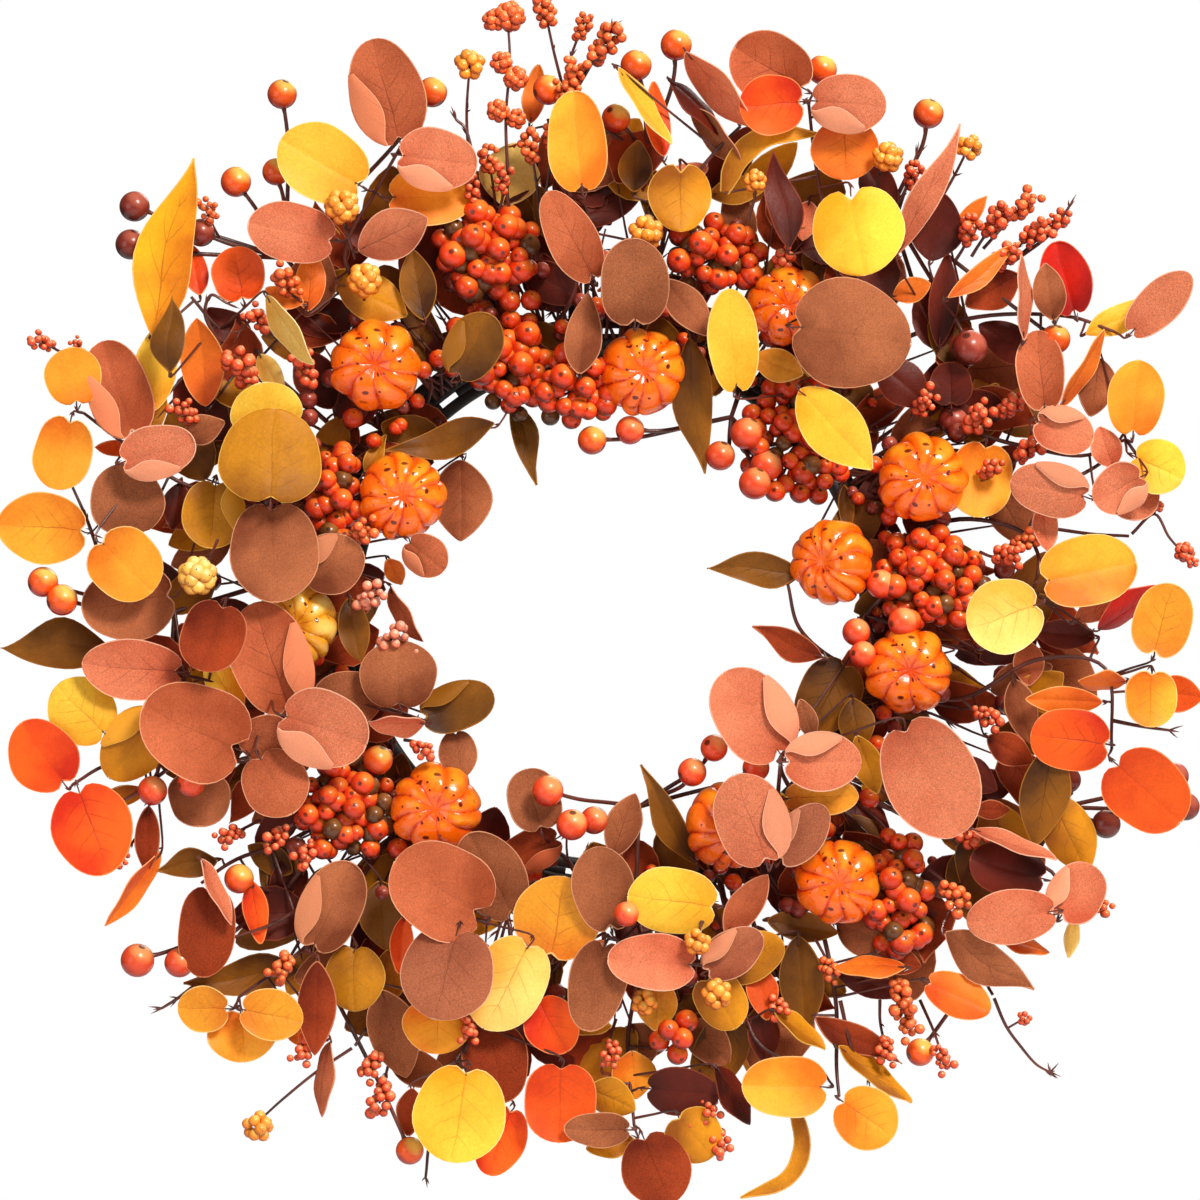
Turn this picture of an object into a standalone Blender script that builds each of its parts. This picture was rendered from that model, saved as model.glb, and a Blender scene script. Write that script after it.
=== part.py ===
"""Harvest door wreath: a slotted ring with a wire hanger, leaf bunches, pumpkins, berries and seed picks.

It stands in the XZ plane and faces -Y, with its flat back at y = 0. The origin is the seat of the hanger,
where a hook holds the wreath, so the wreath hangs below it.
"""

import math

import bmesh
import bpy
import numpy as np
from mathutils import Matrix, Vector

MM = 0.001
WELD = 0.002
WREATH = "harvest_door_wreath"

# Ring, in millimetres.
RING_OUTER_RADIUS = 149.0
RING_INNER_RADIUS = 127.0
RING_THICKNESS = 8.0
RING_SEGMENTS = 36
RING_CENTRE_X = 5.0
RING_CENTRE_Z = -5.0
SLOT_ROWS = 2
SLOTS_PER_ROW = 24
SLOT_LENGTH = 10.0
SLOT_WIDTH = 3.0

# Hanger: a wire bail whose ends turn in two ears on the ring's top edge.
BAIL_WIRE_RADIUS = 1.1
BAIL_HALF_WIDTH = 12.0
BAIL_HEIGHT = 30.0
BAIL_PIN_CLEARANCE = 0.3
EAR_WIDTH = 7.0
EAR_HEIGHT = 9.0
EAR_GAP = 1.0

# Foliage.
CLEARANCE = 0.4
SWING_CLEARANCE = 1.5
LEAF_THICKNESS = 1.2
STEM_RADIUS = 1.4
PETIOLE_RADIUS = 0.5
TWIG_RADIUS = 0.9
HUB_RADIUS = 3.0
HUB_DEPTH = 12.0
WIRE_RADIUS = 0.6
EDGE_ROLL = 58.0
LEAF_TILT = 4.0
LEAF_ROLL = 4.0
PUMPKIN_LOBES = 9
PUMPKIN_FLATNESS = 0.36
BERRY_SIDES = 1
BEAD_RADIUS = 3.0
STEM_FACE_DEPTH = RING_THICKNESS + STEM_RADIUS + CLEARANCE

# Leaf bunches. Each leaf is (outline, x, z, heading, length, width, depth, colour). x and z place its
# middle from the wreath's centre, heading is the way from its base to its tip (0 is right, 90 is up),
# length and width are as seen from the front, and depth is how far in front of the wreath's flat back it
# sits, all in millimetres and degrees.
BUNCHES = {
    "leaf_bunch_01": {
        "slot": "leaf_salmon",
        "stem": [(-88, 108, 13), (-122, 158, 30), (-127, 178, 40), (-113, 203, 46), (-99, 227, 50)],
        "leaves": [
            ("folded", -106, 252, 105, 54, 37, 64, "terracotta"),
            ("round", -153, 183, 168, 44, 30, 60, "salmon"),
            ("folded", -81, 218, -8, 40, 31, 66, "salmon"),
            ("oval", -103, 182, 25, 38, 25, 58, "dusty"),
            ("round", -138, 217, 150, 47, 38, 62, "yellow"),
            ("round", -85, 201, 0, 42, 30, 50, "amber"),
            ("oval", -114, 151, -25, 38, 24, 42, "mustard"),
            ("oval", -145, 160, 85, 30, 16, 40, "orange"),
            ("oval", -91, 158, 100, 36, 18, 47, "olive"),
            ("oval", -45, 214, 80, 32, 30, 36, "pale_yellow"),
            ("oval", -88, 176, 60, 40, 22, 30, "maroon"),
        ],
    },
    "leaf_bunch_02": {
        "slot": "leaf_mustard",
        "stem": [(-118, 70, 14), (-160, 110, 26), (-190, 135, 34), (-205, 152, 38)],
        "leaves": [
            ("lance", -213, 176, 76, 90, 30, 54, "mustard"),
            ("lance", -213, 132, 90, 38, 18, 66, "olive"),
            ("round", -181, 163, 100, 28, 27, 42, "orange_red"),
            ("edge", -155, 134, -55, 42, 12, 60, "pale_yellow"),
            ("oval", -222, 116, 82, 46, 22, 47, "yellow"),
            ("oval", -199, 119, 95, 44, 22, 46, "orange"),
            ("oval", -186, 137, 140, 30, 16, 34, "maroon"),
            ("oval", -143, 112, 120, 34, 22, 26, "maroon"),
        ],
    },
    "leaf_bunch_03": {
        "slot": "leaf_yellow",
        "stem": [(-126, 38, 14), (-178, 48, 34), (-212, 60, 44), (-240, 80, 50), (-257, 93, 54)],
        "leaves": [
            ("round", -261, 111, 95, 29, 28, 64, "amber"),
            ("round", -267, 73, -105, 37, 30, 62, "amber"),
            ("round", -277, 36, 176, 45, 35, 58, "amber"),
            ("round", -235, 17, -45, 37, 36, 68, "amber"),
            ("folded", -240, 105, 108, 50, 32, 56, "terracotta"),
            ("folded", -219, 73, 15, 38, 27, 70, "salmon"),
            ("round", -235, 50, 105, 37, 36, 60, "brown"),
            ("folded", -193, 43, -95, 34, 32, 52, "mustard"),
            ("round", -235, -1, 190, 46, 38, 54, "brown"),
        ],
    },
    "leaf_bunch_04": {
        "slot": "leaf_brown",
        "stem": [(-130, 8, 14), (-148, 30, 40), (-165, 47, 58)],
        "leaves": [
            ("round", -162, 71, 88, 48, 51, 72, "mustard"),
            ("round", -166, 95, 100, 26, 36, 58, "yellow"),
            ("round", -162, 24, -88, 50, 44, 66, "brown"),
            ("folded", -133, 18, 25, 32, 30, 56, "brown"),
            ("oval", -70, 50, -90, 41, 30, 28, "brown"),
            ("edge", -98, -8, -60, 32, 9, 46, "terracotta"),
            ("oval", -123, -15, -80, 32, 16, 44, "olive"),
        ],
    },
    "leaf_bunch_05": {
        "slot": "leaf_terracotta",
        "stem": [(-130, -30, 14), (-150, -48, 40), (-178, -44, 48), (-205, -38, 50)],
        "leaves": [
            ("lance", -273, -24, 180, 54, 26, 40, "olive"),
            ("round", -232, -34, 175, 50, 30, 62, "salmon"),
            ("round", -192, -18, -110, 36, 33, 72, "rust"),
            ("folded", -163, -29, 108, 58, 40, 60, "terracotta"),
            ("oval", -188, -42, 120, 34, 18, 50, "yellow"),
            ("round", -126, -50, 20, 36, 30, 50, "brown"),
            ("round", -100, -37, 90, 34, 39, 60, "brown"),
            ("folded", -137, -64, -20, 45, 39, 74, "salmon"),
            ("round", -161, -91, -60, 34, 33, 68, "terracotta"),
            ("round", -166, -69, 180, 27, 25, 62, "terracotta"),
            ("folded", -71, -53, 18, 38, 25, 50, "olive"),
        ],
    },
    "leaf_bunch_06": {
        "slot": "leaf_orange_red",
        "stem": [(-128, -62, 14), (-172, -80, 32), (-215, -78, 44), (-245, -82, 48), (-263, -92, 50)],
        "leaves": [
            ("round", -258, -55, 135, 36, 33, 56, "yellow"),
            ("folded", -201, -64, 155, 55, 48, 68, "terracotta"),
            ("folded", -232, -72, -128, 42, 31, 54, "mustard"),
            ("round", -277, -77, 125, 38, 34, 58, "orange_red"),
            ("round", -252, -114, -70, 46, 40, 64, "orange_red"),
            ("oval", -226, -120, -92, 33, 13, 48, "rust"),
            ("edge", -233, -145, -126, 46, 9, 46, "orange"),
            ("round", -200, -99, -90, 28, 32, 48, "brown"),
        ],
    },
    "leaf_bunch_07": {
        "slot": "leaf_brown",
        "stem": [(-112, -90, 13), (-150, -118, 26), (-182, -130, 34), (-200, -142, 38)],
        "leaves": [
            ("lance", -207, -133, 190, 30, 16, 40, "olive"),
            ("round", -196, -165, -95, 46, 29, 56, "rust"),
            ("oval", -172, -156, -82, 32, 13, 46, "orange_red"),
            ("edge", -190, -145, -65, 36, 7, 62, "salmon"),
            ("folded", -134, -153, 65, 48, 32, 50, "brown"),
            ("oval", -109, -158, -85, 34, 24, 40, "olive"),
            ("lance", -180, -189, 186, 58, 20, 34, "olive"),
            ("round", -123, -189, -90, 33, 30, 48, "mustard"),
            ("oval", -150, -186, -120, 30, 16, 30, "mustard"),
        ],
    },
    "leaf_bunch_08": {
        "slot": "leaf_yellow",
        "stem": [(-95, -104, 13), (-128, -150, 30), (-150, -176, 44), (-180, -198, 52)],
        "leaves": [
            ("round", -163, -206, -12, 32, 25, 66, "amber"),
            ("round", -178, -217, -85, 26, 34, 56, "amber"),
            ("oval", -141, -203, -92, 47, 19, 60, "rust"),
            ("edge", -138, -239, -97, 38, 10, 54, "terracotta"),
        ],
    },
    "leaf_bunch_09": {
        "slot": "leaf_terracotta",
        "stem": [(-78, -115, 13), (-66, -140, 40), (-66, -158, 56), (-80, -180, 50), (-88, -215, 44)],
        "leaves": [
            ("folded", -79, -143, 148, 53, 47, 70, "terracotta"),
            ("round", -54, -137, 118, 48, 33, 58, "brown"),
            ("round", -76, -184, -105, 47, 46, 76, "dusty"),
            ("round", -46, -191, -118, 50, 38, 64, "pale_yellow"),
            ("round", -81, -212, -92, 28, 34, 56, "amber"),
            ("oval", -103, -217, -75, 46, 26, 46, "brown"),
            ("oval", -90, -236, -20, 34, 18, 36, "brown"),
        ],
    },
    "leaf_bunch_10": {
        "slot": "leaf_orange_red",
        "stem": [(-58, -128, 13), (-45, -170, 26), (-58, -205, 40), (-72, -230, 54)],
        "leaves": [
            ("round", -70, -255, -100, 48, 46, 66, "yellow"),
            ("round", -52, -231, -80, 40, 33, 50, "rust"),
            ("round", -24, -212, -60, 30, 27, 54, "orange_red"),
            ("round", -20, -250, -92, 40, 37, 58, "orange_red"),
            ("round", -50, -270, -110, 36, 25, 50, "orange_red"),
        ],
    },
    "leaf_bunch_11": {
        "slot": "leaf_yellow",
        "stem": [(-30, -134, 13), (-20, -128, 24), (-8, -145, 38), (2, -166, 50), (10, -170, 54)],
        "leaves": [
            ("round", -21, -158, 80, 42, 42, 60, "amber"),
            ("round", 2, -143, 100, 43, 31, 68, "brown"),
            ("round", 36, -149, 172, 45, 34, 70, "yellow"),
            ("round", 26, -179, 176, 44, 28, 72, "salmon"),
            ("round", -2, -191, -102, 46, 29, 66, "brown"),
            ("round", -33, -100, 105, 32, 27, 48, "brown"),
            ("folded", -36, -126, -155, 36, 22, 44, "rust"),
            ("oval", 12, -112, 70, 33, 18, 48, "brown"),
            ("lance", 34, -108, 118, 58, 15, 42, "olive"),
        ],
    },
    "leaf_bunch_12": {
        "slot": "leaf_brown",
        "stem": [(18, -142, 13), (20, -180, 26), (14, -222, 36), (17, -262, 48)],
        "leaves": [
            ("round", -1, -263, 178, 33, 18, 62, "brown"),
            ("round", 28, -283, -68, 37, 34, 60, "rust"),
            ("round", 47, -267, -50, 28, 29, 56, "mustard"),
            ("round", 41, -245, -4, 37, 24, 54, "maroon"),
            ("edge", 67, -247, -58, 34, 13, 52, "maroon"),
        ],
    },
    "leaf_bunch_13": {
        "slot": "leaf_mustard",
        "stem": [(40, -136, 13), (62, -165, 34), (70, -195, 42), (80, -222, 50), (112, -236, 56)],
        "leaves": [
            ("round", 92, -241, 178, 43, 31, 66, "amber"),
            ("folded", 66, -175, 35, 34, 23, 68, "dusty"),
            ("oval", 73, -151, 55, 36, 17, 60, "terracotta"),
            ("round", 74, -178, 22, 38, 25, 54, "mustard"),
            ("round", 60, -200, -60, 30, 26, 58, "mustard"),
            ("edge", 100, -214, -37, 32, 9, 56, "mustard"),
            ("oval", 55, -222, -50, 30, 20, 38, "brown"),
            ("oval", 101, -192, -85, 48, 22, 40, "olive"),
        ],
    },
    "leaf_bunch_14": {
        "slot": "leaf_orange_red",
        "stem": [(88, -108, 13), (110, -160, 28), (118, -200, 40), (118, -232, 50), (119, -247, 56)],
        "leaves": [
            ("round", 132, -257, -35, 32, 31, 66, "amber"),
            ("edge", 137, -236, -38, 45, 10, 56, "mustard"),
            ("lance", 129, -220, -28, 48, 15, 50, "rust"),
            ("edge", 134, -182, 180, 35, 10, 58, "orange"),
            ("oval", 135, -192, -20, 34, 14, 46, "maroon"),
            ("oval", 134, -168, -20, 32, 24, 34, "brown"),
            ("oval", 102, -164, -10, 36, 15, 36, "olive"),
            ("round", 178, -197, -25, 36, 21, 58, "orange"),
        ],
    },
    "leaf_bunch_15": {
        "slot": "leaf_salmon",
        "stem": [(112, -86, 13), (160, -112, 26), (196, -126, 36), (226, -136, 44), (229, -156, 50)],
        "leaves": [
            ("round", 204, -157, 188, 45, 27, 66, "salmon"),
            ("folded", 237, -145, 55, 31, 28, 66, "salmon"),
            ("round", 203, -134, 165, 39, 27, 54, "maroon"),
            ("oval", 234, -117, -65, 44, 26, 50, "mustard"),
            ("oval", 221, -97, -100, 51, 25, 58, "olive"),
            ("lance", 194, -180, -33, 52, 23, 56, "brown"),
            ("edge", 206, -121, -20, 44, 8, 62, "salmon"),
            ("oval", 186, -88, -30, 30, 18, 40, "maroon"),
        ],
    },
    "leaf_bunch_16": {
        "slot": "leaf_salmon",
        "stem": [(98, -100, 12), (92, -88, 30), (90, -78, 52)],
        "leaves": [
            ("folded", 76, -57, 125, 51, 39, 66, "salmon"),
            ("folded", 110, -80, 0, 39, 29, 72, "salmon"),
            ("round", 110, -98, 2, 37, 19, 60, "amber"),
            ("folded", 75, -109, 110, 47, 37, 72, "salmon"),
            ("folded", 100, -116, 50, 36, 23, 66, "dusty"),
            ("round", 163, -88, -62, 63, 46, 74, "salmon"),
            ("round", 114, -48, -120, 40, 32, 40, "olive"),
            ("oval", 133, -82, -70, 30, 15, 56, "mustard"),
        ],
    },
    "leaf_bunch_17": {
        "slot": "leaf_orange_red",
        "stem": [(136, -38, 13), (180, -50, 30), (218, -30, 42), (252, -34, 50), (255, -74, 54)],
        "leaves": [
            ("round", 271, -95, -42, 46, 39, 66, "orange_red"),
            ("round", 233, -69, 172, 40, 32, 66, "orange_red"),
            ("oval", 231, -50, 178, 38, 14, 56, "orange"),
            ("round", 273, -49, -92, 28, 27, 68, "amber"),
            ("round", 279, -10, 75, 37, 30, 68, "amber"),
            ("oval", 232, -17, 175, 32, 15, 40, "maroon"),
            ("oval", 211, -56, -75, 34, 16, 44, "brown"),
        ],
    },
    "leaf_bunch_18": {
        "slot": "leaf_amber",
        "stem": [(138, 22, 13), (176, 40, 28), (208, 36, 38), (219, 22, 48), (216, 4, 54)],
        "leaves": [
            ("round", 242, 14, 12, 49, 36, 66, "amber"),
            ("round", 200, -8, 200, 38, 37, 72, "amber"),
            ("edge", 264, -4, 35, 38, 15, 54, "red"),
            ("oval", 250, -3, 30, 30, 13, 48, "salmon"),
            ("round", 190, 60, -100, 38, 33, 44, "amber"),
            ("oval", 207, 42, -60, 36, 22, 34, "brown"),
        ],
    },
    "leaf_bunch_19": {
        "slot": "leaf_salmon",
        "stem": [(126, 64, 13), (168, 86, 28), (208, 78, 40), (240, 72, 48), (262, 80, 54)],
        "leaves": [
            ("round", 277, 66, -25, 28, 27, 64, "yellow"),
            ("round", 266, 100, 85, 38, 28, 64, "amber"),
            ("folded", 257, 55, -150, 28, 25, 70, "salmon"),
            ("folded", 223, 55, 168, 40, 27, 68, "salmon"),
            ("folded", 230, 84, -20, 30, 24, 66, "salmon"),
            ("round", 219, 114, 95, 41, 24, 62, "terracotta"),
            ("edge", 241, 115, 60, 44, 9, 56, "orange"),
            ("oval", 248, 107, -100, 30, 20, 42, "brown"),
            ("oval", 190, 96, 160, 34, 20, 34, "maroon"),
        ],
    },
    "leaf_bunch_20": {
        "slot": "leaf_maroon",
        "stem": [(100, 98, 13), (150, 130, 26), (190, 142, 38), (232, 142, 46), (256, 134, 52)],
        "leaves": [
            ("round", 278, 147, 45, 42, 21, 62, "salmon"),
            ("lance", 260, 142, 28, 40, 15, 50, "yellow"),
            ("edge", 210, 150, 92, 42, 8, 66, "salmon"),
            ("round", 232, 160, 105, 38, 25, 54, "red"),
            ("lance", 191, 164, 37, 47, 11, 62, "orange"),
            ("oval", 196, 155, -150, 30, 20, 46, "rust"),
            ("oval", 172, 150, 85, 46, 15, 42, "maroon"),
            ("oval", 168, 186, 80, 34, 27, 50, "maroon"),
            ("lance", 164, 204, 65, 72, 15, 60, "salmon"),
            ("oval", 152, 108, -40, 34, 22, 40, "maroon"),
            ("oval", 205, 130, 150, 34, 20, 34, "maroon"),
        ],
    },
    "leaf_bunch_21": {
        "slot": "leaf_yellow",
        "stem": [(122, 84, 13), (127, 126, 36), (117, 170, 46), (108, 215, 50), (104, 247, 54)],
        "leaves": [
            ("heart", 127, 182, -80, 44, 45, 74, "yellow"),
            ("round", 122, 224, -90, 30, 34, 58, "orange"),
            ("folded", 123, 246, -5, 38, 30, 68, "salmon"),
            ("round", 85, 264, 148, 42, 36, 60, "terracotta"),
            ("round", 85, 246, 185, 32, 30, 66, "orange_red"),
            ("lance", 90, 199, 98, 50, 18, 62, "maroon"),
            ("round", 66, 128, 95, 52, 25, 70, "yellow"),
            ("round", 124, 131, -8, 60, 54, 78, "brown"),
            ("point", 117, 84, -48, 54, 30, 72, "yellow"),
            ("oval", 140, 206, -60, 30, 18, 40, "maroon"),
        ],
    },
    "leaf_bunch_22": {
        "slot": "leaf_brown",
        "stem": [(22, 122, 13), (28, 160, 34), (36, 195, 44), (56, 222, 50), (70, 236, 54)],
        "leaves": [
            ("edge", 59, 253, -48, 50, 14, 62, "salmon"),
            ("edge", 48, 246, -48, 36, 11, 54, "maroon"),
            ("edge", 58, 231, -50, 38, 11, 52, "brown"),
            ("edge", 22, 245, -56, 46, 10, 66, "yellow"),
            ("oval", 29, 239, 98, 38, 13, 56, "orange_red"),
            ("heart", 40, 200, -90, 34, 31, 58, "mustard"),
            ("round", 17, 157, 92, 43, 35, 70, "brown"),
            ("oval", 44, 145, -50, 36, 18, 58, "brown"),
            ("lance", 48, 97, -84, 68, 21, 52, "olive"),
            ("oval", 5, 200, 30, 44, 20, 32, "maroon"),
            ("oval", 70, 206, 10, 30, 14, 34, "mustard"),
        ],
    },
    "leaf_bunch_23": {
        "slot": "leaf_terracotta",
        "stem": [(-30, 128, 13), (-12, 158, 36), (-16, 198, 46), (-26, 240, 52)],
        "leaves": [
            ("round", -11, 227, 95, 51, 30, 66, "amber"),
            ("oval", -33, 255, 82, 30, 12, 26, "orange"),
            ("round", -14, 180, 118, 50, 25, 68, "terracotta"),
            ("point", -8, 133, 85, 41, 19, 60, "brown"),
            ("folded", -63, 126, 60, 36, 28, 58, "olive"),
            ("lance", -38, 80, -75, 46, 13, 22, "olive"),
            ("lance", -80, 81, 194, 56, 18, 40, "olive"),
            ("oval", -25, 160, 150, 36, 20, 28, "maroon"),
        ],
    },
    "leaf_bunch_24": {
        "slot": "leaf_brown",
        "stem": [(136, -36, 13), (118, -30, 28), (100, -14, 36), (94, 8, 42)],
        "leaves": [
            ("lance", 77, 15, 178, 47, 18, 44, "olive"),
            ("lance", 94, -21, 156, 38, 15, 40, "rust"),
        ],
    },
}

# Long curled lances: (points from base to tip as x, z, depth), width, colour.
CURLED = {
    "leaf_bunch_21": [([(62, 203, 52), (69, 220, 56), (84, 231, 58), (109, 232, 56)], 12, "mustard")],
    "leaf_bunch_13": [([(96, -250, 48), (101, -272, 48), (93, -289, 50), (70, -298, 52)], 9, "mustard")],
}

# Pumpkins: (x, z, diameter, depth, turn about the upright axis in degrees, slot).
PUMPKINS = [
    (-112, 117, 46, 46, 0, "pumpkin_orange"),
    (22, 114, 44, 46, 0, "pumpkin_orange"),
    (-99, 52, 44, 46, 4, "pumpkin_orange"),
    (-82, -104, 46, 44, 0, "pumpkin_orange"),
    (161, 61, 45, 48, 0, "pumpkin_orange"),
    (116, 19, 43, 46, -28, "pumpkin_orange"),
    (154, -35, 44, 46, 0, "pumpkin_orange"),
    (119, -141, 43, 46, 0, "pumpkin_orange"),
    (64, -113, 44, 44, 12, "pumpkin_orange"),
    (94, 147, 41, 44, 0, "pumpkin_orange"),
    (-152, -12, 42, 40, 0, "pumpkin_yellow"),
]

# Berry clusters: name to (x, z, half width, half height, depth of the middle, berry radius, berries).
CLUSTERS = {
    "berry_cluster_01": (-56, 175, 24, 22, 44, 6.2, 8),
    "berry_cluster_02": (-44, 118, 17, 26, 34, 5.8, 6),
    "berry_cluster_03": (58, 172, 22, 18, 44, 5.6, 6),
    "berry_cluster_04": (-12, 106, 20, 18, 46, 5.6, 7),
    "berry_cluster_05": (-132, 50, 11, 28, 44, 5.6, 5),
    "berry_cluster_06": (100, 80, 28, 30, 42, 5.4, 8),
    "berry_cluster_07": (166, 10, 26, 24, 44, 5.6, 8),
    "berry_cluster_08": (150, -150, 14, 34, 42, 5.8, 6),
    "berry_cluster_09": (-128, -104, 24, 24, 44, 5.6, 8),
    "berry_cluster_10": (38, -218, 9, 11, 52, 5.4, 4),
}

# Big berries on wires: name to (root, hub, berries). The root is on the ring, and each berry is
# (x, z, depth, radius).
BERRY_PICKS = {
    "berry_pick_01": ((-96, 96, 13), (-158, 172, 30), [
        (-159, 253, 44, 7.4), (-162, 214, 46, 6.8), (-182, 209, 46, 7.6), (-233, 197, 42, 7.6),
        (-235, 178, 42, 7.6), (-200, 184, 40, 7.0), (-84, 254, 44, 7.6)]),
    "berry_pick_02": ((34, 132, 13), (24, 222, 36), [
        (18, 267, 48, 7.8), (38, 277, 50, 7.8), (8, 241, 44, 7.2), (-26, 255, 46, 7.6)]),
    "berry_pick_03": ((92, 100, 13), (146, 196, 30), [
        (111, 265, 46, 7.4), (164, 243, 48, 7.6), (185, 126, 44, 9.0), (178, 90, 30, 8.0), (227, 130, 54, 7.4)]),
    "berry_pick_04": ((-132, 20, 13), (-214, -6, 30), [
        (-278, 9, 50, 7.6), (-268, 0, 54, 7.8), (-223, -95, 54, 7.4), (-203, -91, 62, 6.8)]),
    "berry_pick_05": ((70, 108, 13), (66, 92, 30), [
        (-4, 80, 40, 7.2), (15, 85, 42, 7.2), (73, 83, 52, 8.0), (60, 72, 50, 7.4),
        (83, 67, 48, 8.0), (77, 58, 58, 8.0)]),
    "berry_pick_06": ((138, -30, 12.5), (134, -8, 30), [
        (140, 8, 50, 7.2), (151, -11, 52, 7.4), (128, -16, 48, 7.0), (131, -27, 52, 6.6)]),
    "berry_pick_07": ((-108, -82, 12.5), (-160, -148, 32), [
        (-231, -180, 48, 8.4), (-210, -181, 50, 7.4), (-180, -139, 52, 7.4), (-111, -80, 46, 7.4),
        (-95, -275, 48, 7.0)]),
    "berry_pick_08": ((138, -72, 12.5), (232, -104, 34), [
        (253, -112, 46, 7.2), (292, -103, 52, 7.0), (287, -88, 50, 6.8), (234, -90, 44, 6.6),
        (160, -226, 46, 7.0)]),
    "berry_pick_09": ((14, -142, 13), (20, -104, 26), [
        (-26, -95, 56, 7.8), (-14, -112, 54, 7.8), (-3, -110, 48, 7.0), (13, -155, 78, 6.2), (57, -74, 46, 6.8),
        (46, -86, 48, 7.2), (78, -84, 44, 6.8)]),
}

# Seed picks that stand out past the leaves and bend by hand: name to (points from root to tip, beads,
# hinge axis).
SEED_PICKS = {
    "seed_spray_top": (
        [(-46, 212, 50), (-47, 240, 51), (-45, 268, 52), (-46, 289, 52)],
        [(-45, 294, 52), (-49, 287, 53), (-42, 283, 53), (-49, 268, 52), (-42, 259, 53), (-51, 244, 52)],
        (1, 0, 0),
    ),
    "seed_twig_right": (
        [(266, 33, 44), (277, 43, 46), (284, 32, 46), (289, 26, 46)],
        [(277, 47, 47), (291, 25, 46), (296, 20, 47), (288, 18, 45)],
        (0, 0, 1),
    ),
    "seed_twig_low_right": (
        [(197, -199, 46), (203, -213, 46), (211, -224, 46), (218, -232, 46), (225, -236, 46)],
        [(210, -208, 48), (214, -212, 46), (211, -212, 45)],
        (0.76, 0, 0.65),
    ),
    "seed_flower_low_left": (
        [(-124, -224, 46), (-142, -236, 46), (-158, -249, 46), (-168, -258, 46)],
        [(-171, -262, 47), (-177, -261, 46), (-167, -268, 46), (-174, -267, 46)],
        (0.83, 0, -0.56),
    ),
}

# Twigs of the fixed bunches that carry the bending picks, as (x, z, depth) points.
CARRYING_TWIGS = {
    "leaf_bunch_23": [(-26, 132, 14), (-40, 170, 30), (-46, 200, 46), (-46, 210.2, 49.6)],
    "leaf_bunch_19": [(144, 50, 13), (190, 44, 24), (240, 34, 34), (264.6, 32, 43)],
    "leaf_bunch_14": [(100, -118, 13), (150, -150, 24), (185, -180, 36), (196.4, -197.4, 45)],
    "leaf_bunch_08": [(-84, -118, 13), (-95, -160, 24), (-112, -205, 38), (-122.4, -222.8, 45.4)],
}

COLOURS = {
    "ring_plastic": (0.012, 0.011, 0.010), "hanger_wire": (0.05, 0.04, 0.035),
    "leaf_yellow": (0.95, 0.55, 0.07), "leaf_amber": (0.95, 0.36, 0.05), "leaf_mustard": (0.55, 0.24, 0.02),
    "leaf_brown": (0.30, 0.10, 0.045), "leaf_terracotta": (0.58, 0.15, 0.065), "leaf_salmon": (0.78, 0.27, 0.16),
    "leaf_orange_red": (0.95, 0.12, 0.02), "leaf_maroon": (0.10, 0.018, 0.012), "pumpkin_orange": (1.0, 0.16, 0.003),
    "pumpkin_yellow": (0.95, 0.42, 0.03), "berry_red": (0.65, 0.06, 0.012), "berry_big": (0.72, 0.08, 0.02),
    "seed_orange": (0.80, 0.17, 0.04),
}


def bail_axis_height():
    """How far the hanger's pins are above the ring's centre."""
    return RING_OUTER_RADIUS + EAR_HEIGHT / 2 - 1


def seat_height():
    """How far the inside of the hanger's top is above the ring's centre."""
    return bail_axis_height() + BAIL_HEIGHT - BAIL_WIRE_RADIUS


def place(x, z, depth):
    """The point x, z from the wreath's centre, depth in front of its back, in metres from the hanger's seat."""
    return Vector((x - RING_CENTRE_X, -depth, z - RING_CENTRE_Z - seat_height())) * MM


def clear_scene():
    for obj in list(bpy.data.objects):
        bpy.data.objects.remove(obj)
    for old in list(bpy.data.collections):
        bpy.data.collections.remove(old)


def collection(name, helper=False):
    made = bpy.data.collections.new(name)
    bpy.context.scene.collection.children.link(made)
    made.hide_render = helper
    return made


def material(slot):
    made = bpy.data.materials.get(slot)
    if made is None:
        made = bpy.data.materials.new(slot)
        made.use_nodes = True
        shader = made.node_tree.nodes["Principled BSDF"]
        shader.inputs["Base Color"].default_value = (*COLOURS[slot], 1)
        shader.inputs["Roughness"].default_value = 0.3 if "pumpkin" in slot or "berry" in slot else 0.7
        shader.inputs["Metallic"].default_value = 0.8 if slot == "hanger_wire" else 0.0
    return made


def to_mesh(name, build):
    """A mesh made by build(bmesh)."""
    work = bmesh.new()
    build(work)
    bmesh.ops.recalc_face_normals(work, faces=work.faces)
    mesh = bpy.data.meshes.new(name)
    work.to_mesh(mesh)
    work.free()
    return mesh


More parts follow.
